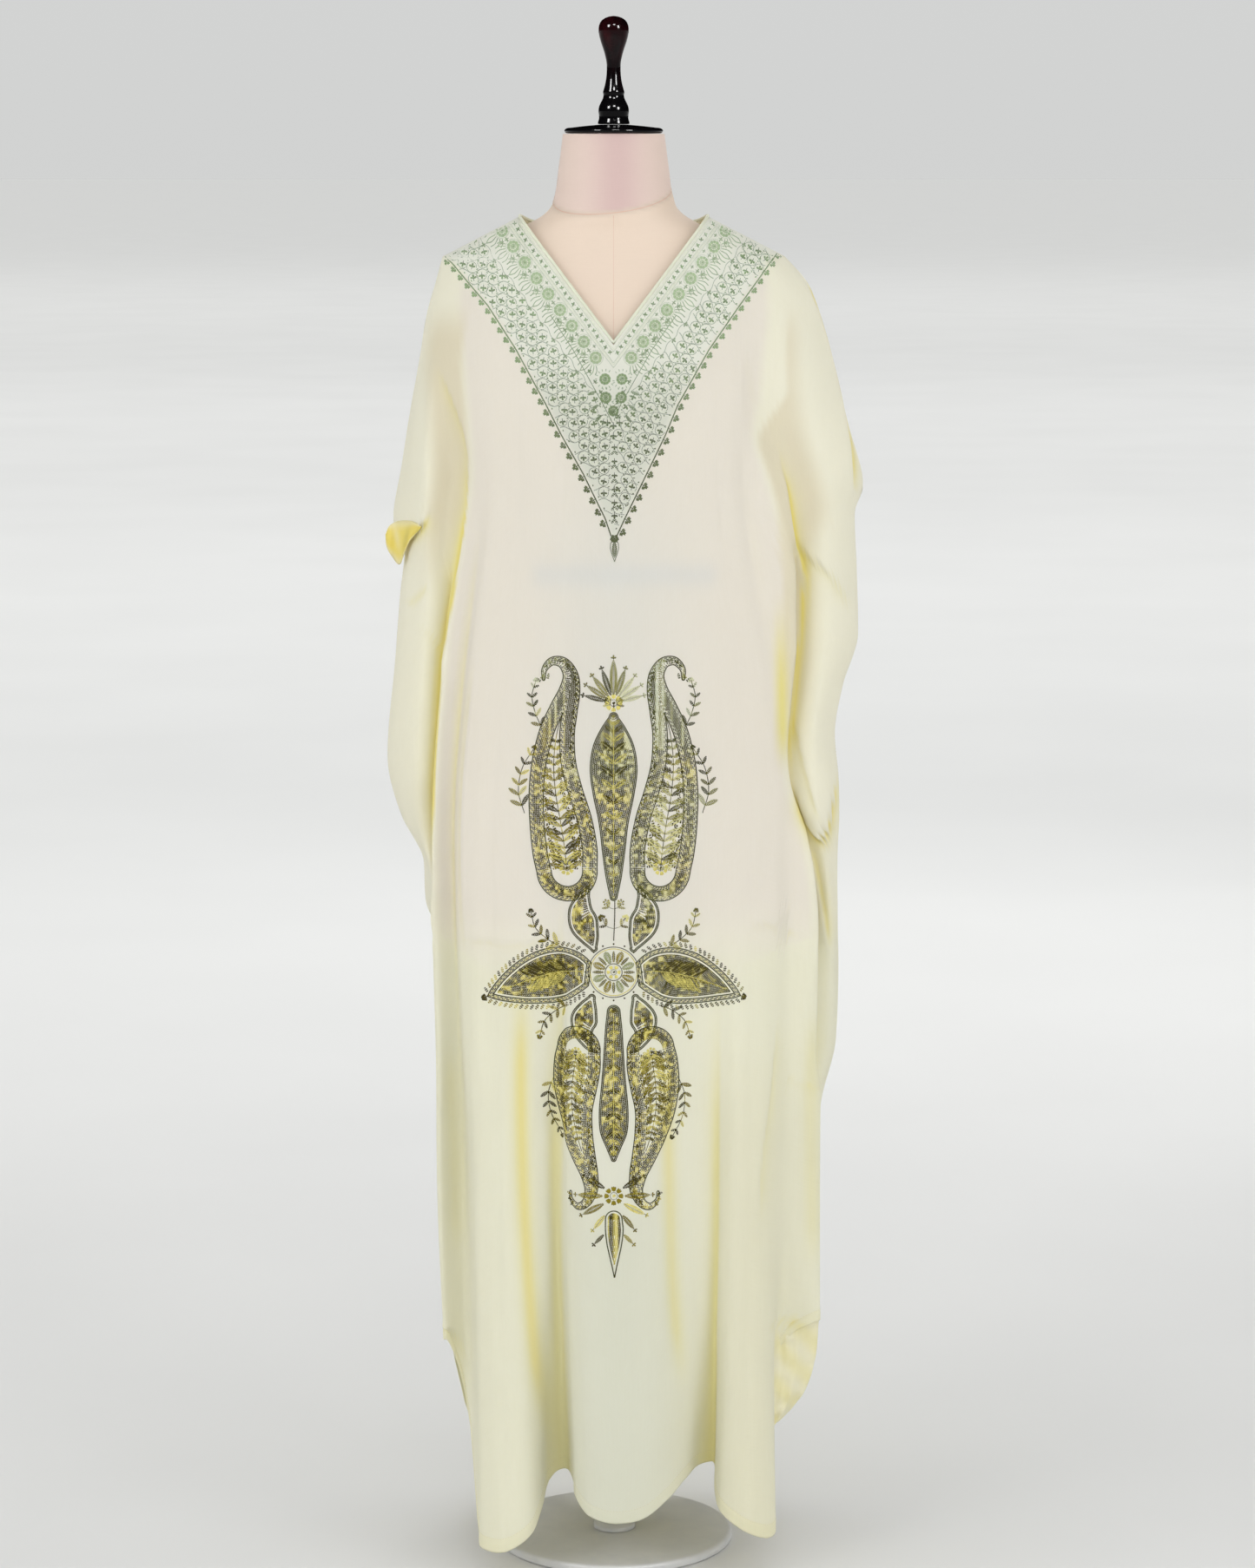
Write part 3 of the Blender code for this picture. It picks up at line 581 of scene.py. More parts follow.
def mesh_of(name, verts, faces, rgb=None, lay=None, smooth_shade=True):
    """A mesh from arrays of points (mm) and equal faces, with colours and a lay."""
    faces = np.asarray(faces, np.int32)
    mesh = bpy.data.meshes.new(name)
    mesh.vertices.add(len(verts))
    mesh.vertices.foreach_set("co", (np.asarray(verts, float) * MM).astype(np.float32).ravel())
    mesh.loops.add(faces.size)
    mesh.loops.foreach_set("vertex_index", faces.ravel())
    mesh.polygons.add(len(faces))
    mesh.polygons.foreach_set("loop_start", np.arange(0, faces.size, faces.shape[1], dtype=np.int32))
    mesh.update(calc_edges=True)
    mesh.validate()
    if rgb is not None:
        tint = mesh.color_attributes.new("tint", "FLOAT_COLOR", "POINT")
        rgba = np.ones((len(verts), 4), np.float32)
        rgba[:, :3] = rgb
        tint.data.foreach_set("color", rgba.ravel())
    if lay is not None:
        where = mesh.attributes.new("lay", "FLOAT_VECTOR", "POINT")
        flat = np.zeros((len(verts), 3), np.float32)
        flat[:, : lay.shape[1]] = lay
        where.data.foreach_set("vector", flat.ravel())
    if smooth_shade:
        mesh.shade_smooth()
    return mesh


def show(name, mesh, material):
    ob = bpy.data.objects.new(name, mesh)
    bpy.context.scene.collection.objects.link(ob)
    mesh.materials.append(material)
    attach(ob, "root")
    return ob


def grid_faces(rows, cols, flip=False, closed=False):
    """Quads of a grid of points; closed joins its last column to its first."""
    a = np.arange(rows * cols).reshape(rows, cols)
    if closed:
        a = np.concatenate([a, a[:, :1]], axis=1)
    quads = np.stack([a[:-1, :-1], a[1:, :-1], a[1:, 1:], a[:-1, 1:]], axis=-1).reshape(-1, 4)
    return quads[:, ::-1] if flip else quads


def grid_normals(points):
    """Unit normals of a grid, to the right of down its rows across its columns."""
    across, along = np.gradient(points, axis=1), np.gradient(points, axis=0)
    n = np.cross(along, across)
    return n / np.maximum(np.linalg.norm(n, axis=2, keepdims=True), 1e-9)


# ---- materials ------------------------------------------------------------------
class Look:
    """A Principled material under construction, with its nodes by short names."""

    def __init__(self, name, **constants):
        self.material = bpy.data.materials.new(name)
        self.material.use_nodes = True
        self.tree = self.material.node_tree
        self.shader = self.tree.nodes["Principled BSDF"]
        for socket, value in constants.items():
            self.shader.inputs[socket.replace("_", " ")].default_value = value

    def node(self, kind, **values):
        made = self.tree.nodes.new(kind)
        for name, value in values.items():
            if name in made.inputs:
                made.inputs[name].default_value = value
            elif hasattr(made, name):
                setattr(made, name, value)
            else:
                made.inputs[name.replace("_", " ")].default_value = value
        return made

    def link(self, out, into):
        self.tree.links.new(out, into)

    def place(self, source, scale):
        """Coordinates in metres, from the object or a named attribute, times scale."""
        if source == "object":
            start = self.node("ShaderNodeTexCoord").outputs["Object"]
        else:
            start = self.node("ShaderNodeAttribute", attribute_name=source).outputs["Vector"]
        mapping = self.node("ShaderNodeMapping", Scale=scale)
        self.link(start, mapping.inputs["Vector"])
        return mapping.outputs["Vector"]

    def noise(self, source, scale, detail=2.0, rough=0.5):
        made = self.node("ShaderNodeTexNoise", Scale=1.0, Detail=detail, Roughness=rough)
        self.link(self.place(source, scale), made.inputs["Vector"])
        return made.outputs["Fac"]

    def wave(self, source, scale, along="X", distort=0.0):
        made = self.node("ShaderNodeTexWave", Scale=1.0, Distortion=distort, bands_direction=along)
        self.link(self.place(source, scale), made.inputs["Vector"])
        return made.outputs["Fac"]

    def spread(self, value, low, high, at_low=0.0, at_high=1.0):
        made = self.node("ShaderNodeMapRange")
        for socket, number in zip(("From Min", "From Max", "To Min", "To Max"), (low, high, at_low, at_high)):
            made.inputs[socket].default_value = number
        self.link(value, made.inputs["Value"])
        return made.outputs["Result"]

    def sum(self, *weighted):
        """A weighted sum of values."""
        total = None
        for value, weight in weighted:
            part = self.node("ShaderNodeMath", operation="MULTIPLY")
            self.link(value, part.inputs[0])
            part.inputs[1].default_value = weight
            if total is None:
                total = part.outputs[0]
                continue
            both = self.node("ShaderNodeMath", operation="ADD")
            self.link(total, both.inputs[0])
            self.link(part.outputs[0], both.inputs[1])
            total = both.outputs[0]
        return total

    def mix(self, factor, a, b, blend="MIX"):
        """A colour between a and b, each a colour or an output."""
        made = self.node("ShaderNodeMix", data_type="RGBA", blend_type=blend)
        for socket, value in ((0, factor), (6, a), (7, b)):
            if isinstance(value, bpy.types.NodeSocket):
                self.link(value, made.inputs[socket])
            else:
                made.inputs[socket].default_value = (*value, 1.0) if socket else value
        return made.outputs[2]

    def tint(self):
        return self.node("ShaderNodeAttribute", attribute_name="tint").outputs["Color"]

    def colour(self, value):
        if isinstance(value, bpy.types.NodeSocket):
            self.link(value, self.shader.inputs["Base Color"])
        else:
            self.shader.inputs["Base Color"].default_value = (*value, 1.0)

    def rough(self, value):
        self.link(value, self.shader.inputs["Roughness"])

    def bump(self, height, strength, distance):
        made = self.node("ShaderNodeBump", Strength=strength, Distance=distance)
        self.link(height, made.inputs["Height"])
        self.link(made.outputs["Normal"], self.shader.inputs["Normal"])


def cloth_look(name, slub=1.0, through=0.27):
    """Fine cotton: slubs both ways, a plain weave in the bump, a soft sheen, and
    light that comes through it."""
    look = Look(name, Sheen_Weight=0.12, Sheen_Roughness=0.5, Specular_IOR_Level=0.25)
    weft = look.noise("lay", (45, 900, 1), 2.0)
    warp = look.noise("lay", (760, 30, 1), 2.0)
    cloud = look.noise("lay", (9, 7, 1), 3.0, 0.55)
    light = look.sum((weft, 0.35), (warp, 0.35), (cloud, 0.3))
    shade = look.mix(look.spread(light, 0.32, 0.68), (0.955, 0.95, 0.93), (1.0, 1.0, 1.0))
    look.colour(look.mix(1.0, look.tint(), shade, "MULTIPLY"))
    look.rough(look.spread(cloud, 0.3, 0.7, 0.74, 0.86))
    over = look.wave("lay", (1 / 0.0011 / 6.2832 * 2, 1, 1), "X")
    under = look.wave("lay", (1, 1 / 0.0011 / 6.2832 * 2, 1), "Y")
    height = look.sum((over, 0.3), (under, 0.3), (weft, 0.7 * slub), (warp, 0.5 * slub))
    look.bump(height, 0.35, 0.00035)
    thin = look.node("ShaderNodeBsdfTranslucent")
    look.link(look.mix(1.0, look.tint(), THROUGH, "MULTIPLY"), thin.inputs["Color"])
    both = look.node("ShaderNodeMixShader")
    both.inputs[0].default_value = through
    look.link(look.shader.outputs[0], both.inputs[1])
    look.link(thin.outputs[0], both.inputs[2])
    look.link(both.outputs[0], look.tree.nodes["Material Output"].inputs["Surface"])
    return look.material


def thread_look():
    """Stranded cotton: the stitch's own colour, with fine fibres in the bump."""
    look = Look("thread", Sheen_Weight=0.03, Sheen_Roughness=0.4, Specular_IOR_Level=0.14)
    fibre = look.noise("object", (2600, 2600, 2600), 1.0)
    shade = look.mix(look.spread(fibre, 0.3, 0.7), (0.86, 0.86, 0.84), (1.0, 1.0, 1.0))
    look.colour(look.mix(1.0, look.tint(), shade, "MULTIPLY"))
    look.rough(look.spread(fibre, 0.3, 0.7, 0.48, 0.66))
    look.bump(fibre, 0.4, 0.0002)
    return look.material


def cover_look():
    """The form's cover: fine peach cotton drawn tight, slightly worn and mottled."""
    look = Look("form_cotton", Sheen_Weight=0.15, Sheen_Roughness=0.5, Specular_IOR_Level=0.3)
    cloud = look.noise("object", (14, 14, 11), 3.0, 0.6)
    cross = look.noise("object", (70, 70, 1300), 1.5)
    long = look.noise("object", (1300, 1300, 70), 1.5)
    light = look.sum((cloud, 0.5), (cross, 0.25), (long, 0.25))
    look.colour(
        look.mix(
            1.0,
            look.tint(),
            look.mix(look.spread(light, 0.3, 0.7), (0.95, 0.94, 0.935), (1.0, 1.0, 1.0)),
            "MULTIPLY",
        )
    )
    look.rough(look.spread(cloud, 0.3, 0.7, 0.62, 0.74))
    look.bump(look.sum((cross, 0.5), (long, 0.5)), 0.3, 0.0003)
    return look.material


def lacquer_look():
    """Black lacquer with a red undertone where the wood is turned thin."""
    look = Look("lacquer", Coat_Weight=0.2, Coat_Roughness=0.03, Specular_IOR_Level=0.06)
    look.shader.inputs["Coat IOR"].default_value = 1.52
    depth = look.noise("object", (60, 60, 22), 2.0)
    high = look.node("ShaderNodeSeparateXYZ")
    look.link(look.place("object", (1, 1, 1)), high.inputs["Vector"])
    up = look.spread(high.outputs["Z"], 1.515, 1.57)
    red = look.mix(look.spread(depth, 0.35, 0.7), tuple(srgb(16, 5, 7)), tuple(srgb(52, 8, 14)))
    look.colour(look.mix(up, tuple(srgb(9, 8, 10)), red))
    fine = look.noise("object", (900, 900, 900), 2.0)
    look.rough(look.spread(fine, 0.3, 0.7, 0.10, 0.20))
    look.bump(depth, 0.05, 0.0003)
    return look.material


def paint_look():
    """Pale powder coat: orange-peel bump and a soft cloud in its tone."""
    look = Look("powder_coat", Metallic=0.0, Specular_IOR_Level=0.45)
    peel = look.noise("object", (1500, 1500, 1500), 2.0)
    cloud = look.noise("object", (30, 30, 30), 4.0, 0.6)
    look.colour(look.mix(look.spread(cloud, 0.3, 0.7), tuple(srgb(196, 197, 197)), tuple(srgb(208, 208, 206))))
    look.rough(look.spread(cloud, 0.3, 0.7, 0.36, 0.5))
    look.bump(peel, 0.25, 0.0002)
    return look.material


def floor_look():
    """Plain pale paper with painted shade and light: darker round and in front of the stand, lighter further back and
    lightest far behind.
    """
    look = Look("floor", Specular_IOR_Level=0.2)
    cloud = look.noise("object", (1.2, 1.2, 1.2), 3.0)
    apart = look.node("ShaderNodeSeparateXYZ")
    look.link(look.place("object", (1, 1, 1)), apart.inputs["Vector"])
    near = look.mix(look.spread(cloud, 0.3, 0.7), tuple(srgb(214, 214, 213)), tuple(srgb(218, 218, 217)))
    far = look.mix(look.spread(cloud, 0.3, 0.7), tuple(srgb(241, 241, 240)), tuple(srgb(243, 243, 242)))
    farthest = look.mix(look.spread(cloud, 0.3, 0.7), tuple(srgb(251, 251, 250)), tuple(srgb(253, 253, 252)))
    paper = look.mix(look.spread(apart.outputs["Y"], 0.2, 3.8), near, far)
    look.colour(look.mix(look.spread(apart.outputs["Y"], 10.0, 34.0), paper, farthest))
    look.rough(look.spread(cloud, 0.3, 0.7, 0.8, 0.9))
    return look.material


# ---- cloth ------------------------------------------------------------------------
CREAM = srgb(250, 248, 232)
PALE = srgb(244, 238, 230)     # where the form lies behind
# painted shade: the yellow the cloth shows deep in its folds, and below it a deeper yellow for steep fold walls, strong
# creases and the sleeve's roll
SHADE_YELLOW = srgb(243, 234, 148)     # deep in a fold
DEEP_SHADE_YELLOW = srgb(248, 232, 124)
LIME = srgb(246, 245, 226)     # the skirt, with nothing behind
YOKE_GROUND = srgb(246, 248, 240)


def hollow(points, normals, reach=16.0):
    """How far the cloth to either side, along a row, stands over each point."""
    deep = np.zeros(points.shape[:2])
    for j, row in enumerate(points):
        s = np.concatenate([[0], np.cumsum(np.linalg.norm(np.diff(row, axis=0), axis=1))])
        mean = np.zeros_like(row)
        for step in (-reach, -0.5 * reach, 0.5 * reach, reach):
            mean += 0.25 * np.stack([np.interp(s + step, s, row[:, a]) for a in range(3)], axis=1)
        deep[j] = ((mean - row) * normals[j]).sum(axis=1)
    return deep


def crease(points, normals, way):
    """The cloth moved out or in along its creases, and how much painted yellow shade each place gets."""
    flat = points[..., [0, 2]].reshape(-1, 2)
    high, crease_shade = np.zeros(len(flat)), np.zeros(len(flat))
    for panel, kind, wide, tall, hollow_shade, line in CREASES:
        if panel != way:
            continue
        path = spline_path(np.array(line, float), 6)
        low, top = path.min(axis=0) - 5 * wide, path.max(axis=0) + 5 * wide
        near = np.flatnonzero(((flat > low) & (flat < top)).all(axis=1))
        p = flat[near]
        a, d = path[:-1], np.diff(path, axis=0)
        length = np.linalg.norm(d, axis=1)
        d = d / length[:, None]
        t = np.einsum("ijk,jk->ij", p[:, None] - a[None], d)
        foot = a[None] + np.clip(t, 0, length)[..., None] * d[None]
        apart = np.linalg.norm(p[:, None] - foot, axis=2)
        best = apart.argmin(axis=1)
        k = np.arange(len(p))
        start = np.concatenate([[0], np.cumsum(length)])
        along = (start[best] + t[k, best]) / start[-1]
        side = (p[:, 0] - a[best, 0]) * -d[best, 1] + (p[:, 1] - a[best, 1]) * d[best, 0]
        off = np.sign(side) * apart[k, best]
        fade = smooth(along / 0.22) * smooth((1 - along) / 0.22)
        if kind == "fold":
            shape = np.exp(-0.5 * (off / wide) ** 2)
            high[near] += tall * fade * shape
            crease_shade[near] += hollow_shade * fade * np.exp(-0.5 * (off / (0.8 * wide)) ** 2)
        else:
            off = off * np.sign(tall)
            up = np.exp(-np.maximum(off, 0) / wide)
            down = -0.45 * np.exp(np.minimum(off, 0) / (0.6 * wide))
            step = smooth((off + 1.3) / 2.6)
            high[near] += abs(tall) * fade * (up * step + down * (1 - step))
            crease_shade[near] += hollow_shade * fade * (1 - step) * np.exp(np.minimum(off, 0) / (0.55 * wide))
    shape = points.shape[:2]
    faces_out = smooth((way * normals[..., 1] - 0.02) / 0.3)
    high = high.reshape(shape) * faces_out
    crease_shade = crease_shade.reshape(shape) * smooth((way * normals[..., 1] + 0.35) / 0.3)
    # on the sleeves' outer sides a fold's painted shade ends where the cloth turns to the side
    outer = smooth((abs(points[..., 0]) - 200) / 12) * smooth((points[..., 2] - 1085) / 30)
    crease_shade *= 1 - outer * (1 - smooth((way * normals[..., 1] - 0.04) / 0.25))
    return points + normals * high[..., None], crease_shade


def cloth_panel(name, node, way, beside, folds, rows):
    panel = Panel(way)
    counts = list(beside) + [folds] * (panel.count - 1 - 2 * BESIDE) + list(beside)[::-1]
    at = np.concatenate([[0]] + [k + np.arange(1, n + 1) / n for k, n in enumerate(counts)])
    body = [np.linspace(a, b, n, endpoint=False) for a, b, n in rows]
    down = np.concatenate(
        [[0, 0.0012, 0.003, 0.006, 0.010, 0.015, 0.021, 0.028]]
        + body
        + [[0.984, 0.9868, 0.9885, 0.9895, 0.9905, 0.993, 0.9965, 0.9985, 1.0]]
    )
    points = panel.surface(at, down)
    normals = grid_normals(points) * (-1 if way > 0 else 1)
    points, crease_shade = crease(points, normals, way)
    normals = grid_normals(points) * (-1 if way > 0 else 1)
    # the hem is turned up: a second layer, with a dent at its stitch line
    turned = smooth((down - 0.9870) / 0.0012) * 0.5
    turned -= 0.55 * np.exp(-0.5 * ((down - 0.9893) / 0.0006) ** 2)
    points = points + normals * turned[:, None, None]

    deep = hollow(points, normals)
    broad = hollow(points, normals, 34.0)
    x, y, z = (points[..., k] for k in range(3))
    fold_x = np.where(x < 0, by_height(SIDE[-1], "ridge_x", z), by_height(SIDE[1], "ridge_x", z))
    form_wide = form_at("wide", np.clip(z, 668, 1475))
    form_wide = form_wide + (fold_x - 2 - form_wide) * smooth((z - 640) / 30) * smooth((1215 - z) / 60)
    end = 652 + 5 * np.sin(x / 41 + 1) + 4 * np.sin(x / 17)
    over_form = smooth((form_wide + 3 - abs(x)) / 12) * smooth((z - end + 34) / 105)
    over_form *= smooth((way * y - 30) / 30)
    tint = np.broadcast_to(CREAM, points.shape).copy()

    def toward(colour, share):
        tint[:] = tint + (colour - tint) * np.clip(share, 0, 1)[..., None]

    toward(LIME, smooth((690 - z) / 60) * 0.85)
    toward(PALE, over_form * 0.8)
    if way < 0:
        # the sleeves are deeper in tone beside the body, where they lie in its shade
        start = np.where(x < 0, fold_x - 5, fold_x - 17 + 12 * smooth((z - 1050) / 60) + 40 * smooth((z - 1165) / 60))
        stop = np.where(x < 0, fold_x + 46, fold_x + 30 + 32 * smooth((z - 1050) / 60))
        beside_body = smooth((abs(x) - start) / 9) * smooth((stop - abs(x)) / np.where(x < 0, 22, 28))
        beside_body *= smooth((1312 - z) / 45) * smooth((z - np.where(x < 0, 1015, 830)) / 90)
        beside_body *= 1 - smooth((z - 1110) / 30) * (1 - smooth((-normals[..., 1] - 0.04) / 0.25))
        toward(CREAM * np.array([0.885, 0.835, 0.75]), beside_body * np.where(x < 0, 0.95, 0.85))
        low_right = np.exp(-((x - 140) / 40) ** 2) * smooth((600 - z) / 140)
        toward(CREAM * np.array([0.92, 0.915, 0.85]), low_right * 0.85)
    # painted shade: hollows along each row, and the broad valleys low on the skirt, turn toward the fold yellow
    toward(SHADE_YELLOW, smooth((deep - 0.6) / 5.0) * 0.5)
    toward(SHADE_YELLOW, smooth((broad - 1.5) / 13.0) * (0.46 if way < 0 else 0.3) * smooth((1000 - z) / 300) * smooth((196 - abs(x)) / 30))
    # painted shade: the steep wall between each side fold's ridge and valley turns deep yellow
    from_edge = np.minimum(at, panel.count - 1 - at)[None, :]
    wall = smooth((from_edge - 3.55) / 0.6) * smooth((5.0 - from_edge) / 0.3)
    toward(DEEP_SHADE_YELLOW, wall * smooth((z - 640) / 160) * smooth((1090 - z) / 130) * (0.5 if way < 0 else 0.12))
    # painted shade along the creases
    toward(SHADE_YELLOW, crease_shade * 0.9)
    if way < 0:
        # painted shade: a narrow yellow line on the body's side of the valley by the sleeve at the viewer's right
        lip = np.exp(-0.5 * ((x - 169 + (z - 930) * 0.03) / 4.5) ** 2) * smooth((1030 - z) / 110) * smooth((z - 835) / 50)
        toward(SHADE_YELLOW, lip * 0.9)
    # painted shade: deeper yellow where a crease's painted shade is strong
    toward(DEEP_SHADE_YELLOW, smooth((crease_shade - 0.35) / 0.7) * 0.6)
    # the turned hem's band is tinted a little toward the same yellow
    toward(SHADE_YELLOW, 0.12 * smooth((down - 0.9885)[:, None] / 0.001) * np.ones_like(z))
    if way < 0:
        toward(srgb(232, 234, 231), 0.4 * np.exp(-((x - 4) / 70) ** 2) * smooth((1190 - z) / 160))
        toward(srgb(222, 225, 206), 0.36 * np.exp(-((x - 6) / 62) ** 2) * smooth((470 - z) / 130))
        toward(YOKE_GROUND, in_yoke(x, z) * 0.9)
        toward(srgb(224, 226, 214), in_yoke(x, z) * smooth((1262 - z) / 60) * 0.7)
        band = np.exp(-0.5 * ((z - 1040) / 9) ** 2) * smooth((x + 90) / 20) * smooth((112 - x) / 20)
        toward(srgb(222, 227, 232), band * 0.3)
    rows_n, cols_n = points.shape[:2]
    side_way = np.concatenate([[0], np.cumsum(np.linalg.norm(np.diff(points[rows_n // 2], axis=0), axis=1))])
    drop = np.concatenate(
        [np.zeros((1, cols_n)), np.cumsum(np.linalg.norm(np.diff(points, axis=0), axis=2), axis=0)]
    )
    lay = np.stack([np.broadcast_to(side_way, drop.shape), drop], axis=2) * MM
    mesh = mesh_of(
        name,
        points.reshape(-1, 3),
        grid_faces(rows_n, cols_n, flip=way > 0),
        tint.reshape(-1, 3),
        lay.reshape(-1, 2),
    )
    ob = show(name, mesh, COTTON)
    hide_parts(node)
    wall = ob.modifiers.new("wall", "SOLIDIFY")
    wall.thickness = WALL * MM
    wall.offset = -1.0
    return panel, at, down, points, normals, ob


# ---- stitches -----------------------------------------------------------------------
HUMP = np.array(
    [
        (-0.5, 0, 0), (-0.27, -0.5, 0), (0.27, -0.5, 0), (0.5, 0, 0),
        (0.27, 0.5, 0), (-0.27, 0.5, 0), (-0.2, 0, 1), (0.2, 0, 1),
    ]
)
HUMP_FACES = np.array(
    [(0, 1, 6), (1, 2, 7), (1, 7, 6), (2, 3, 7), (3, 4, 7), (4, 5, 6), (4, 6, 7), (5, 0, 6)]
)
SUNK = -0.25           # a stitch's rim lies this far into the cloth


class Stitches:
    """Many small stitches, gathered flat and then laid on the cloth."""

    def __init__(self, seed):
        self.random = np.random.default_rng(seed)
        self.flat, self.lift, self.rgb = [], [], []

    def sew(self, at, angle, length, width, rgb, lift=0.45, uneven=0.12):
        """Satin stitches at places (n, 2), each along its angle in radians."""
        at = np.atleast_2d(np.asarray(at, float))
        n = len(at)
        each = lambda v: np.broadcast_to(np.asarray(v, float), (n,))
        angle, length, width, lift = each(angle), each(length), each(width), each(lift)
        vary = lambda v: v * (1 + uneven * (self.random.random(n) - 0.5))
        length, width = vary(length)[:, None], vary(width)[:, None]
        u, v = HUMP[:, 0] * length, HUMP[:, 1] * width
        c, s = np.cos(angle)[:, None], np.sin(angle)[:, None]
        flat = np.stack([u * c - v * s, u * s + v * c], axis=2) + at[:, None]
        rgb = np.broadcast_to(np.asarray(rgb, float), (n, 3)) * (
            1 + 0.22 * (self.random.random((n, 1)) - 0.5)
        )
        self.flat.append(flat)
        self.lift.append(np.where(HUMP[:, 2] > 0, lift[:, None], SUNK))
        self.rgb.append(np.broadcast_to(rgb[:, None], flat.shape[:2] + (3,)))

    def line(self, path, rgb, length=2.3, width=0.75, lean=0.16, pitch=1.6, lift=0.45):
        """Stem stitch along a path: short slanted stitches that overlap."""
        path = np.asarray(path, float)
        steps = np.linalg.norm(np.diff(path, axis=0), axis=1)
        s = np.concatenate([[0], np.cumsum(steps)])
        n = max(int(s[-1] / pitch), 1)
        where = (np.arange(n) + 0.5) * s[-1] / n
        at = np.stack([np.interp(where, s, path[:, k]) for k in (0, 1)], axis=1)
        ahead = np.stack([np.interp(where + 0.4, s, path[:, k]) for k in (0, 1)], axis=1)
        back = np.stack([np.interp(where - 0.4, s, path[:, k]) for k in (0, 1)], axis=1)
        d = ahead - back
        if np.ndim(rgb) > 1:
            rgb = np.stack([np.interp(where, s, rgb[:, k]) for k in range(3)], axis=1)
        self.sew(at, np.arctan2(d[:, 1], d[:, 0]) + lean, length, width, rgb, lift)

    def petal(self, at, angle, length, width, rgb, strands=3, lift=0.6):
        """A small satin petal: strands side by side, longest in the middle."""
        at = np.asarray(at, float)
        k = (np.arange(strands) - (strands - 1) / 2) / max(strands / 2, 1)
        side = np.array([-math.sin(angle), math.cos(angle)])
        fwd = np.array([math.cos(angle), math.sin(angle)])
        long = length * (1 - 0.35 * k * k)
        mid = at + fwd * (length * 0.5) + np.outer(k * width * 0.36, side)
        self.sew(mid, angle + 0.35 * k, long, width / strands * 1.5, rgb, lift * (1 - 0.25 * k * k))

    def trefoil(self, at, angle, size, rgb, heart, strands=1):
        """Three petals on a short stalk."""
        at = np.asarray(at, float)
        for turn in (-1.2, 0.0, 1.2):
            a = angle + turn
            fwd, side = np.array([math.cos(a), math.sin(a)]), np.array([-math.sin(a), math.cos(a)])
            long = size * (0.56 if turn == 0 else 0.48)
            for k in range(strands):
                off = (k - (strands - 1) / 2) * size * 0.17
                self.sew([at + fwd * long * 0.55 + side * off], a, long, size * (0.34 if strands == 1 else 0.24), rgb, 0.6)
        self.sew([at], angle, size * 0.24, size * 0.22, heart, 0.8)
        stalk = at - np.array([math.cos(angle), math.sin(angle)]) * size * 0.22
        self.sew([stalk], angle, size * 0.42, size * 0.13, heart, 0.4)

    def leaf(self, at, angle, length, width, rgb, rib=None, pairs=None):
        """A leaf in fishbone stitch: slanted stitches off a middle rib."""
        at = np.asarray(at, float)
        pairs = pairs or max(int(length / 1.5), 3)
        t = (np.arange(pairs) + 0.6) / pairs
        fwd, side = np.array([math.cos(angle), math.sin(angle)]), np.array([-math.sin(angle), math.cos(angle)])
        broad = width * 0.5 * np.sin(math.pi * t**0.8) ** 0.8 + 0.25
        for way in (-1, 1):
            mid = at + np.outer(t * length, fwd) + np.outer(way * broad * 0.5, side) + np.outer(broad * 0.25, fwd)
            self.sew(mid, angle + way * 0.75, broad * 1.35 + 0.5, length / pairs * 0.95, rgb, 0.5)
        if rib is not None:
            self.line(np.stack([at, at + fwd * length * 0.92]), rib, 1.8, 0.5, 0.1, 1.4, 0.65)

    def rosette(self, at, radius, rgb, ring, heart, petals=8, turn=0.0):
        """A round flower: petals, a ring of back stitches and a knotted heart."""
        at = np.asarray(at, float)
        for k in range(petals):
            a = turn + 2 * math.pi * k / petals
            out = np.array([math.cos(a), math.sin(a)])
            self.petal(at + out * radius * 0.34, a, radius * 0.64, radius * 0.5, rgb, 3)
        n = max(int(2 * math.pi * radius * 0.34 / 1.5), 5)
        a = 2 * math.pi * np.arange(n) / n
        self.sew(at + radius * 0.34 * np.stack([np.cos(a), np.sin(a)], axis=1), a + math.pi / 2, 1.7, 0.7, ring, 0.7)
        self.sew([at, at + (0.6, 0.3)], 0.4, radius * 0.3, radius * 0.26, heart, 0.85)

    def object(self, name, lay, keep=None):
        """Lays every stitch on the cloth, leaving out those that keep refuses."""
        flat, lift = np.concatenate(self.flat), np.concatenate(self.lift)
        rgb = np.concatenate(self.rgb)
        if keep is not None:
            kept = keep(flat.mean(axis=1))
            flat, lift, rgb = flat[kept], lift[kept], rgb[kept]
        points = lay(flat.reshape(-1, 2), lift.ravel())
        faces = (HUMP_FACES[None] + 8 * np.arange(len(flat))[:, None, None]).reshape(-1, 3)
        mesh = mesh_of(name, points, faces, rgb.reshape(-1, 3))
        return show(name, mesh, THREAD)


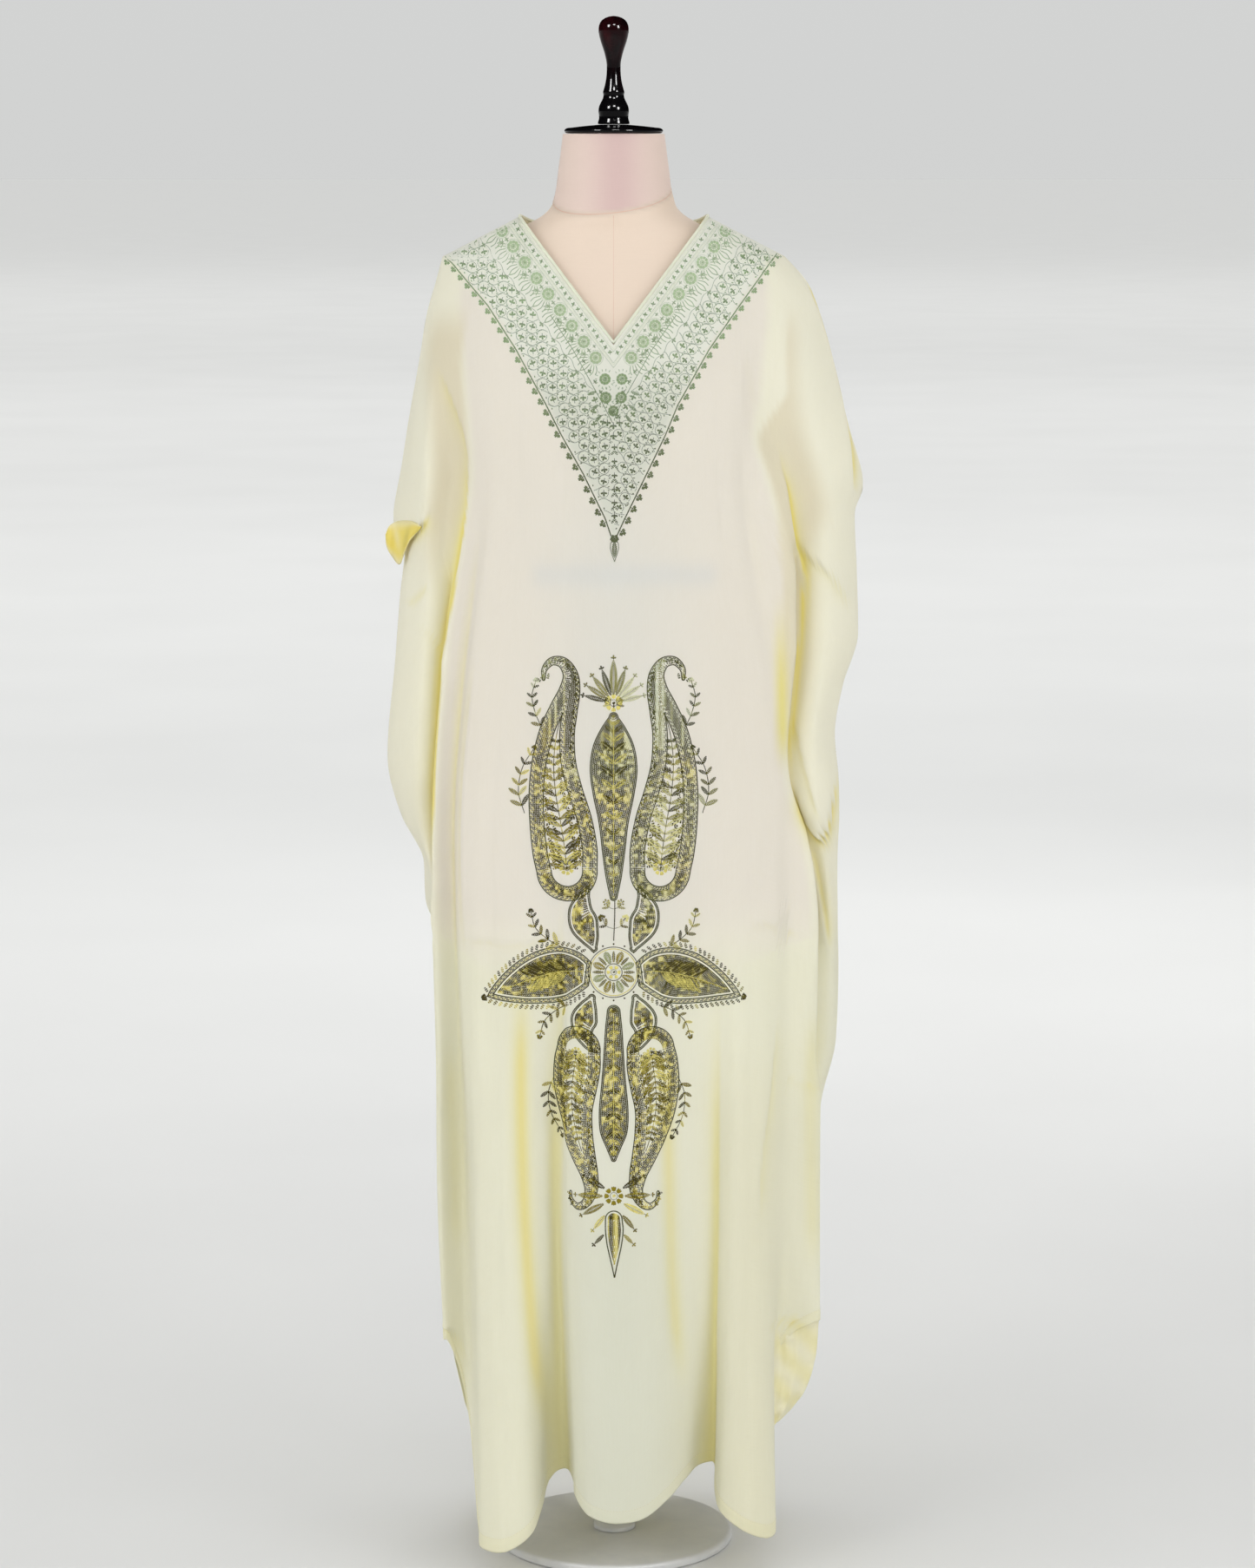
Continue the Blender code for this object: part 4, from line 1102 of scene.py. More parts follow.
class Lay:
    """Where flat places land: a grid of the cloth's points, read between them."""

    def __init__(self, u, v, points):
        self.u, self.v, self.points = u, v, points
        du, dv = np.gradient(points, axis=1), np.gradient(points, axis=0)
        n = np.cross(du, dv)
        self.normals = n / np.maximum(np.linalg.norm(n, axis=2, keepdims=True), 1e-9)

    def read(self, grid, at):
        i = np.clip((at[:, 0] - self.u[0]) / (self.u[1] - self.u[0]), 0, len(self.u) - 1.001)
        j = np.clip((at[:, 1] - self.v[0]) / (self.v[1] - self.v[0]), 0, len(self.v) - 1.001)
        a, b = i.astype(int), j.astype(int)
        p, q = (i - a)[:, None], (j - b)[:, None]
        return (
            grid[b, a] * (1 - p) * (1 - q)
            + grid[b, a + 1] * p * (1 - q)
            + grid[b + 1, a] * (1 - p) * q
            + grid[b + 1, a + 1] * p * q
        )

    def __call__(self, at, lift):
        n = self.read(self.normals, at)
        n /= np.maximum(np.linalg.norm(n, axis=1, keepdims=True), 1e-9)
        return self.read(self.points, at) + n * lift[:, None]


def lay_from_front(points):
    """Flat places are x and z, straight in from the front."""
    rows, cols = points.shape[:2]
    tree = BVHTree.FromPolygons(points.reshape(-1, 3).tolist(), grid_faces(rows, cols).tolist())
    u, v = np.arange(-215.0, 216.0, 2.5), np.arange(1025.0, 1403.0, 2.5)
    found = np.full((len(v), len(u), 3), np.nan)
    for j, z in enumerate(v):
        for i, x in enumerate(u):
            hit = tree.ray_cast(Vector((x, -400, z)), Vector((0, 1, 0)))[0]
            if hit is not None:
                found[j, i] = hit
    for j in range(len(v)):          # past an edge the cloth's last depth goes on
        good = np.flatnonzero(~np.isnan(found[j, :, 1]))
        if len(good) == 0:
            found[j, :, 1] = found[j - 1, :, 1]
        else:
            found[j, :, 1] = np.interp(u, u[good], found[j, good, 1])
        found[j, :, 0], found[j, :, 2] = u, v[j]
    return Lay(u, v, found)


def lay_along_cloth(points, middle):
    """Flat places are the way along the cloth from its middle column, and z."""
    v = np.arange(300.0, 1000.0, 4.0)
    u = np.arange(-186.0, 187.0, 2.0)
    cut = np.zeros((len(v), points.shape[1], 2))
    for i in range(points.shape[1]):
        column = points[::-1, i]
        for k in (0, 1):
            cut[:, i, k] = np.interp(v, column[:, 2], column[:, k])
    found = np.zeros((len(v), len(u), 3))
    for j in range(len(v)):
        s = np.concatenate([[0], np.cumsum(np.linalg.norm(np.diff(cut[j], axis=0), axis=1))])
        s -= s[middle]
        for k in (0, 1):
            found[j, :, k] = np.interp(u, s, cut[j, :, k])
        found[j, :, 2] = v[j]
    return Lay(u, v, found)


# ---- the yoke: a trailing-vine field inside a pointed edge, charted -------------------
YOKE_EDGE = """
z      left  right
1400    222    214
1362    183    171
1346    163    157
1305    126    126
1262     97     95
1209     67     64
1178     51     51
1141     30     33
1096      8     11
1072      0      0
"""
NECK_RUN = np.array([0.609, 0.793])
NECK_OUT = np.array([0.793, -0.609])
edge_rows = table(YOKE_EDGE)


def yoke_edge(side, z):
    name = "left" if side < 0 else "right"
    return np.interp(z, edge_rows["z"][::-1], edge_rows[name][::-1])


def from_neck(x, z):
    """How far a place lies outside the V's edge."""
    return abs(x) * NECK_OUT[0] + (z - NOTCH_Z) * NECK_OUT[1]


def in_yoke(x, z):
    reach = np.where(x < 0, yoke_edge(-1, z), yoke_edge(1, z))
    return smooth((reach + 2 - abs(x)) / 8) * (z > 1050)


SAGE, MOSS, STEM = srgb(146, 172, 124), srgb(98, 106, 68), srgb(128, 134, 120)
PALE_THREAD = srgb(240, 242, 222)


def yoke_rgb(x, z, stem=False):
    """Threads turn from sage at the neck and shoulders to moss at the tip."""
    x, z = np.asarray(x, float), np.asarray(z, float)
    dark = np.clip(0.75 * smooth((1330 - z) / 230) + 0.25 * smooth(from_neck(x, z) / 110), 0, 1)[..., None]
    base = (SAGE + (MOSS - SAGE) * dark) * (1 - 0.14 * smooth((1255 - z) / 80))[..., None]
    return 0.5 * (base * 1.08 + STEM + (1 - dark) * 0.07) if stem else base


def yoke_stitches(lay):
    sewn = Stitches(11)
    rand = sewn.random

    def inside(p, edge, neck):
        """True where a place is clear of the outer edge and of the neck band."""
        x, z = p[..., 0], p[..., 1]
        reach = np.where(x < 0, yoke_edge(-1, z), yoke_edge(1, z))
        within = (reach - abs(x) > edge) & (from_neck(x, z) > neck)
        return within & ((reach - abs(x) < 56.0) | (z > 1298))

    for side in (-1, 1):
        flip = np.array([side, 1.0])
        # along the neck: two pale cords with small trefoils between them
        for d in (2.6, 11.8):
            t = np.arange(-1.3 * d, 172.0, 2.0)
            path = (np.array([0, NOTCH_Z]) + np.outer(t, NECK_RUN) + d * NECK_OUT) * flip
            path = path[side * path[:, 0] >= 0]
            sewn.line(path, PALE_THREAD, 2.4, 1.1, 0.1, 1.5, 0.6)
        for d in (4.0, 10.6, 13.4):
            t = np.arange(-1.3 * d, 172.0, 2.0)
            path = (np.array([0, NOTCH_Z]) + np.outer(t, NECK_RUN) + d * NECK_OUT) * flip
            path = path[side * path[:, 0] >= 0]
            sewn.line(path, yoke_rgb(path[:, 0], path[:, 1]), 1.9, 0.55, 0.2, 1.6, 0.4)
        up = math.atan2(NECK_RUN[1], side * NECK_RUN[0])
        for k, t in enumerate(np.arange(-4.0, 158.0, 6.6)):
            p = (np.array([0, NOTCH_Z]) + t * NECK_RUN + 7.3 * NECK_OUT) * flip
            if side * p[0] < 2:
                continue
            rgb = yoke_rgb(*p) * (0.8 if k % 2 else 1.0)
            sewn.trefoil(p, up + (0.5 if k % 2 else -0.5), 5.4, rgb, rgb * 0.7)
        # rosettes down the band, each with fans of fine leaves out into the field
        out = math.atan2(NECK_OUT[1], side * NECK_OUT[0])
        for k, t in enumerate(np.arange(1.0, 160.0, 19.5)):
            p = (np.array([0, NOTCH_Z]) + t * NECK_RUN + 21.5 * NECK_OUT) * flip
            rgb = 0.82 * yoke_rgb(*p) + 0.18 * PALE_THREAD
            around = np.linspace(0, 2 * math.pi, 12)[:-1]
            sewn.sew(p + 1.9 * np.stack([np.cos(around), np.sin(around)], axis=1), around, 3.2, 1.3, rgb * 1.12, 0.35)
            sewn.rosette(p, 7.2, rgb * 1.10, rgb * 0.92, rgb * 0.80, 10, 0.3 * k)
            ring = np.linspace(0, 2 * math.pi, 30)
            sewn.line(p + 7.4 * np.stack([np.cos(ring), np.sin(ring)], axis=1), rgb * 0.95, 1.8, 0.6, 0.2, 1.6)
            for turn, long in ((-1.0, 9.0), (-0.72, 10.5), (-0.44, 11.5), (-0.16, 12.0), (0.12, 12.0), (0.4, 11.5), (0.68, 10.5), (0.96, 9.0)):
                a = out + turn * side
                start = p + 8.2 * np.array([math.cos(a), math.sin(a)])
                bend = start + long * 0.55 * np.array([math.cos(a), math.sin(a)])
                b = a - 0.5 * side * np.sign(turn + 0.01)
                tip = bend + long * 0.45 * np.array([math.cos(b), math.sin(b)])
                tone = rgb * (0.84 + 0.25 * rand.random())
                sewn.line(spline_path(np.stack([start, bend, tip])), tone, 2.5, 1.25, 0.12, 1.5, 0.5)
            q = p + np.array([side * NECK_RUN[0], NECK_RUN[1]]) * 9.8
            for shift, size in ((-5.0, 4.4), (0.5, 5.4), (6.5, 5.4)):
                where = q + shift * np.array([math.cos(out), math.sin(out)])
                sewn.trefoil(where, out + (math.pi if shift < 0 else 0), size, rgb * 0.88, rgb * 0.66)
            far = p + 22.5 * np.array([math.cos(out), math.sin(out)])
            if inside(far, 6.0, 36.0):
                sewn.trefoil(far, out, 6.4, rgb * 0.84, rgb * 0.6)
        for d in (43.0,):
            t = np.arange(-1.3 * d + 30, 172.0, 2.0)
            path = (np.array([0, NOTCH_Z]) + np.outer(t, NECK_RUN) + (d + 1.2 * np.sin(t / 3.1))[:, None] * NECK_OUT) * flip
            path = path[inside(path, 3.0, 30.0)]
            if len(path) > 4:
                sewn.line(path, yoke_rgb(path[:, 0], path[:, 1], True), 2.2, 0.7, 0.2, 1.5, 0.45)
        # the field: winding stems in rows, and in each of their bends a curl that
        # holds a trefoil on a pale roundel
        slope = 0.0 if side < 0 else -0.62
        run, up_row = np.array([math.cos(slope), math.sin(slope)]), np.array([-math.sin(slope), math.cos(slope)])
        bend, sway = 10.2, 1.9
        for row in range(-20, 42):
            u = np.arange(-330.0, 330.0, 0.8)
            base = np.array([side * 60.0, 1150.0]) + (row * 11.8) * up_row + 2.0 * (rand.random() - 0.5) * run
            path = base + np.outer(u, run) - np.outer(sway * np.cos(math.pi * u / bend), up_row)
            fits = inside(path, 2.0, 44.0) & (side * path[:, 0] > 0.4)
            for piece in np.split(np.arange(len(u)), np.flatnonzero(np.diff(fits.astype(int))) + 1):
                if len(piece) > 5 and fits[piece[0]]:
                    part = path[piece]
                    sewn.line(part, yoke_rgb(part[:, 0], part[:, 1], True), 2.3, 0.95, 0.2, 1.65, 0.42)
            for n in range(-32, 33):
                hand = 1 if n % 2 == 0 else -1
                p = base + (n * bend + 0.8 * (rand.random() - 0.5)) * run + hand * (3.9 + 0.5 * rand.random()) * up_row
                if not (inside(p, 6.5, 45.5) and side * p[0] > 4.2):
                    continue
                rgb = yoke_rgb(*p) * (0.80 + 0.26 * rand.random())
                stem = yoke_rgb(*p, True)
                a = slope + hand * math.pi / 2 + 0.9 * (rand.random() - 0.5)
                turn = slope - hand * (math.pi / 2 + np.linspace(0.35, 5.3, 18) - 0.35)
                reach = np.linspace(5.8, 4.5, 18)[:, None]
                curl = p + reach * np.stack([np.cos(turn), np.sin(turn)], axis=1)
                if inside(curl, 0.5, 43.0).all():
                    sewn.line(curl, stem, 2.2, 0.95, 0.2, 1.65, 0.42)
                    ring = np.linspace(0, 2 * math.pi, 14)
                    halo = p + 3.9 * np.stack([np.cos(ring), np.sin(ring)], axis=1)
                    sewn.line(halo, PALE_THREAD, 2.6, 1.0, 0.1, 2.3, 0.26)
                sewn.trefoil(p, a, 7.6, rgb, rgb * 0.74)
                # a pair of leaflets where the stem crosses over
                q = base + (n + 0.5) * bend * run
                if inside(q, 3.0, 45.0) and side * q[0] > 2.0:
                    sewn.sew([q + 1.7 * up_row, q - 1.7 * up_row], (slope + 0.5, slope - 0.5), 3.0, 1.3, rgb * 1.05, 0.5)
        # the inner border of the lower field runs down to the centre line
        z = np.arange(1296.0, 1174.0, -1.0)
        path = np.stack([side * np.maximum(yoke_edge(side, z) - 57, 0), z], axis=1)
        path = path[abs(path[:, 0]) > 0.3]
        sewn.line(path, yoke_rgb(path[:, 0], path[:, 1]) * 0.85, 2.2, 1.0, 0.2, 1.4, 0.5)
        for k in range(6, len(path) - 4, 10):
            rgb = yoke_rgb(*path[k]) * 0.82
            sewn.trefoil(path[k] + np.array([-side * 3.2, 1.0]), math.pi / 2 + side * 0.9, 5.4, rgb, rgb * 0.7)
        # the outer edge: a vine line, and large trefoils that point outward
        z = np.arange(1372.0, 1078.0, -1.0)
        path = np.stack([side * yoke_edge(side, z), z], axis=1)
        sewn.line(path, yoke_rgb(path[:, 0], path[:, 1]) * 0.9, 2.4, 1.7, 0.2, 1.5, 0.7)
        s = np.concatenate([[0], np.cumsum(np.linalg.norm(np.diff(path, axis=0), axis=1))])
        t = 3.0
        while t < s[-1] - 3:
            low = t / s[-1]
            p = np.array([np.interp(t, s, path[:, 0]), np.interp(t, s, path[:, 1])])
            q = np.array([np.interp(t + 2, s, path[:, 0]), np.interp(t + 2, s, path[:, 1])])
            a = math.atan2(*(q - p)[::-1]) + side * 1.45
            rgb = yoke_rgb(*p) * (1.02 + 0.16 * rand.random())
            size = 7.4 + 1.9 * low
            sewn.trefoil(p + 0.28 * size * np.array([math.cos(a), math.sin(a)]), a, size, rgb, rgb * 0.8, 2)
            sewn.sew([p - 3.6 * np.array([math.cos(a), math.sin(a)])], a + 1.2, 2.6, 1.6, rgb * 1.1, 0.5)
            t += 10.4 + 2.6 * low
    # pairs of rosettes where the bands meet, then trefoils down the middle
    for x, z, r in ((-8.4, 1234, 6.4), (8.4, 1234, 6.4), (-7.6, 1216, 6.6), (7.6, 1216, 6.6), (0, 1203, 6.2)):
        rgb = yoke_rgb(x, z)
        around = np.linspace(0, 2 * math.pi, 12)[:-1]
        sewn.sew((x, z) + 1.9 * np.stack([np.cos(around), np.sin(around)], axis=1), around, 3.0, 1.3, rgb * 1.1, 0.35)
        sewn.rosette((x, z), r, rgb * 1.08, rgb * 0.86, rgb * 0.66, 10, 0.2)
        for a in np.arange(0.2, 6.28, 0.42):
            start = np.array([x, z]) + (r + 0.8) * np.array([math.cos(a), math.sin(a)])
            if abs(start[0]) > 3 or start[1] < z:
                sewn.sew([start + 1.6 * np.array([math.cos(a), math.sin(a)])], a, 3.4, 0.9, rgb * 1.08, 0.4)
    for x, z in ((0, 1189), (0, 1179), (-6, 1192), (6, 1192)):
        rgb = yoke_rgb(x, z) * 0.85
        sewn.trefoil((x, z), -math.pi / 2, 8.0, rgb, rgb * 0.6)
    for x, z, a in ((-17, 1222, 3.5), (17, 1222, -0.4), (-15, 1209, 3.8), (15, 1209, -0.7), (-12, 1199, 4.0), (12, 1199, -0.9)):
        rgb = yoke_rgb(x, z)
        sewn.leaf((x, z), a, 9.0, 3.0, rgb, rgb * 0.6)
    for z, size in ((1168, 7.0), (1154, 7.0), (1140, 7.0), (1126, 7.0), (1113, 7.0), (1100, 7.5)):
        rgb = yoke_rgb(0, z) * 0.9
        sewn.trefoil((1.0, z), -math.pi / 2, size, rgb, rgb * 0.6)
        sewn.leaf((1.0, z - 4), -2.2, 5.0, 1.8, rgb, None, 3)
        sewn.leaf((1.0, z - 4), -0.95, 5.0, 1.8, rgb, None, 3)
    # the drop at the tip
    rgb = yoke_rgb(0, 1060) * 0.95
    for turn in (-2.5, -0.64):
        sewn.trefoil((1.0, 1077), turn, 8.6, rgb, rgb * 0.8, 3)
    outline = np.array([(1, 1078), (4.8, 1072), (5.2, 1067), (3.6, 1061), (1, 1054), (-1.6, 1061), (-3.2, 1067), (-2.8, 1072), (1, 1078)], float)
    sewn.line(outline, rgb, 2.0, 0.9, 0.15, 1.3, 0.55)
    sewn.leaf((1, 1074), -math.pi / 2, 16.0, 5.4, rgb * 1.3, rgb * 0.8)

    top = {s: Panel(-1).rim(s)[0] for s in (-1, 1)}

    def keep(at):
        x, z = at[:, 0], at[:, 1]
        rim = np.zeros(len(x))
        for s in (-1, 1):
            order = top[s][:, 60:]
            mine = np.sign(x) * s >= 0
            rim[mine] = np.interp(abs(x[mine]), order[0][: 100], order[1][: 100])
        inside = from_neck(x, z) > 1.4
        return inside & ((abs(x) < NECK_POINT_X) | (z < rim - 2.0))

    return sewn.object("yoke_embroidery", lay, keep)


# ---- the skirt's ornament: a layout of its own, of mirrored paisleys ---------------------
OLIVE, KHAKI, MIST, STRAW, SLATE = (
    srgb(66, 58, 2), srgb(142, 128, 22), srgb(150, 156, 104), srgb(224, 212, 118), srgb(78, 82, 36)
)
MIDDLE_HIGH = """
x z r
0 716 4
0 735 8
0 760 11.5
0 790 15
0 820 21
0 845 24
0 868 21
0 886 13
0 898 5
"""
MIDDLE_LOW = """
x z r
0 600 7
0 580 9
0 555 10.5
0 528 12.5
0 500 15
0 478 14
0 462 8
0 450 3
"""
SPINES = {
    # x and z of the middle line, and half the width there, from the round end on
    "tall": """
x    z     r
47   742   31
49   762   33
53   790   32
58   820   28
60   850   23
57   880   18.5
50   905   14.5
44   924   11
43   940   8
50   952   6
61   954   4.5
69   946   3.2
70   936   2
""",
    "low": """
x    z     r
38   560   25
40   545   27
43   522   26
43   498   22
38   474   17.5
31   452   13
25   434   9.5
23   418   7
28   405   5
37   400   3.8
45   406   2.6
46   414   1.8
""",
}


def swept(text, side, jitter=0.0):
    """The outline of a shape that tapers along a middle line."""
    rows = table(text)
    n = len(rows["x"])
    t = np.linspace(0, n - 1, 140)
    k = np.arange(n, dtype=float)
    x, z, r = (spline(k, rows[name], t) for name in ("x", "z", "r"))
    d = np.gradient(np.stack([x, z], axis=1), axis=0)
    d /= np.linalg.norm(d, axis=1, keepdims=True)
    normal = np.stack([-d[:, 1], d[:, 0]], axis=1)
    middle = np.stack([x, z], axis=1)
    left, right = middle + normal * r[:, None], middle - normal * r[:, None]
    a0 = math.atan2(d[0, 1], d[0, 0])
    cap = [middle[0] + r[0] * np.array([math.cos(a0 + a), math.sin(a0 + a)]) for a in np.linspace(1.5 * math.pi, 0.5 * math.pi, 40)[1:-1]]
    a1 = math.atan2(d[-1, 1], d[-1, 0])
    end = [middle[-1] + r[-1] * np.array([math.cos(a1 + a), math.sin(a1 + a)]) for a in np.linspace(0.5, -0.5, 8) * math.pi]
    outline = np.concatenate([left, end[1:-1], right[::-1], cap])
    flip = np.array([side, 1.0])
    return outline * flip, middle * flip, r


def spline(k, values, t):
    """A rounded curve through values at whole steps."""
    m = np.gradient(values)
    i = np.clip(t.astype(int), 0, len(values) - 2)
    f = t - i
    return (
        values[i] * (1 + 2 * f) * (1 - f) ** 2 + m[i] * f * (1 - f) ** 2
        + values[i + 1] * f * f * (3 - 2 * f) + m[i + 1] * f * f * (f - 1)
    )


def even(path, pitch, closed=True):
    """The path again, at even steps."""
    if closed:
        path = np.concatenate([path, path[:1]])
    s = np.concatenate([[0], np.cumsum(np.linalg.norm(np.diff(path, axis=0), axis=1))])
    n = max(int(s[-1] / pitch), 4)
    where = np.arange(n) * s[-1] / n
    return np.stack([np.interp(where, s, path[:, k]) for k in (0, 1)], axis=1)


def patches(at, seed, size):
    """Soft random patches over the plane, from 0 to 1."""
    rand = np.random.default_rng(seed)
    grid = rand.random((160, 160))
    u, v = at[:, 0] / size + 80, (at[:, 1] - 640) / size + 80
    i, j = np.clip(u.astype(int), 0, 158), np.clip(v.astype(int), 0, 158)
    f, g = smooth(u - i), smooth(v - j)
    return (
        grid[j, i] * (1 - f) * (1 - g) + grid[j, i + 1] * f * (1 - g)
        + grid[j + 1, i] * (1 - f) * g + grid[j + 1, i + 1] * f * g
    )


def mottled(at, light=0.0):
    """Thread colours of the dense filling: olive, khaki, mist and straw, in patches."""
    fine, broad = patches(at, 5, 2.9), patches(at, 9, 34.0)
    cool = np.clip(broad * 0.8 - 0.38 + at[:, 0] / 420 + (at[:, 1] - 720) / 420, 0, 0.8)[:, None]
    dark = OLIVE + (SLATE - OLIVE) * cool
    middle = KHAKI + (MIST - KHAKI) * cool
    bright = STRAW + (srgb(196, 206, 196) - STRAW) * cool
    fine = np.clip((fine + light - 0.5) * 2.3 + 0.5, 0, 1)[:, None]
    low = dark + (middle - dark) * smooth(fine * 2)
    return low + (bright - low) * smooth(fine * 2 - 1)


def filled(sewn, outline, bands, pitch=1.45, most=40.0, light=-0.12):
    """Rows of stitches inside an outline, each row a step further in.
    bands: (how deep, kind); kind is dark, ladder or fill, and the last goes on."""
    ring = even(outline, 1.6)
    ahead = np.roll(ring, -1, axis=0) - np.roll(ring, 1, axis=0)
    ahead /= np.maximum(np.linalg.norm(ahead, axis=1, keepdims=True), 1e-9)
    inward = np.stack([-ahead[:, 1], ahead[:, 0]], axis=1)
    area = 0.5 * np.sum(ring[:, 0] * np.roll(ring[:, 1], -1) - np.roll(ring[:, 0], -1) * ring[:, 1])
    if area < 0:
        inward = -inward
    depth, k = 0.6, 0
    while depth < most:
        kind = next((b[1] for b in bands if depth <= b[0]), bands[-1][1])
        moved = ring + inward * depth
        gaps = np.linalg.norm(moved[:, None] - ring[None], axis=2).min(axis=1)
        good = gaps > depth * 0.97 - 0.05
        if not good.any():
            break
        angle = np.arctan2(ahead[:, 1], ahead[:, 0])
        at, turn = moved[good], angle[good]
        if kind == "dark":
            rgb = OLIVE + (SLATE - OLIVE) * np.clip(patches(at, 9, 34.0) * 0.8, 0, 1)[:, None]
            sewn.sew(at, turn + 0.15, 2.6, 1.7, rgb, 0.6)
        elif kind == "ladder":
            every = np.flatnonzero(good)[::2]
            sewn.sew(moved[every] + inward[every] * 0.9, angle[every] + math.pi / 2 - 0.45, 3.2, 1.05, STRAW, 0.65)
            between = np.flatnonzero(good)[1::2]
            sewn.sew(moved[between] + inward[between] * 0.9, angle[between] + math.pi / 2 - 0.45, 3.4, 1.5, OLIVE, 0.5)
            depth += 1.6
        elif kind == "dots":
            every = np.arange(len(at)) % 3 == k % 3
            sewn.sew(at[~every], turn[~every] + 0.4, 2.4, 1.5, mottled(at[~every], light - 0.12), 0.5)
            sewn.sew(at[every], turn[every] + 0.9, 1.9, 1.3, mottled(at[every], 0.45), 0.7)
        elif kind == "gap":
            pass
        else:
            lean = (0.5 if k % 2 else -0.5) + 0.6 * (sewn.random.random(len(at)) - 0.5)
            sewn.sew(at, turn + lean, 2.5, 1.75, mottled(at, light), 0.35 + 0.3 * sewn.random.random(len(at)))
        depth += pitch
        k += 1


def spray(sewn, stem, pairs, long, light=-0.08, ends=0.0):
    """A stem with leaves in pairs, and a trefoil at its end."""
    stem = np.asarray(stem, float)
    fine = even(stem, 1.0, closed=False)
    fine = np.concatenate([fine, stem[-1:]])
    sewn.line(fine, mottled(fine, -0.3), 2.3, 1.3, 0.2, 1.5, 0.5)
    s = np.linspace(0.12, 0.9, pairs) * (len(fine) - 2)
    for n, k in enumerate(s.astype(int)):
        d = fine[k + 1] - fine[k]
        a = math.atan2(d[1], d[0])
        for hand in (-1, 1):
            grow = long * (1 - 0.45 * n / max(pairs - 1, 1)) * (0.9 + 0.2 * sewn.random.random())
            rgb = mottled(fine[k : k + 1] + hand, light)[0]
            sewn.leaf(fine[k], a + hand * 0.85, grow, grow * 0.36, rgb, OLIVE * 0.9)
    d = fine[-1] - fine[-4]
    sewn.trefoil(fine[-1], math.atan2(d[1], d[0]), 6.5 + ends, mottled(fine[-1:], 0)[0], OLIVE, 3)


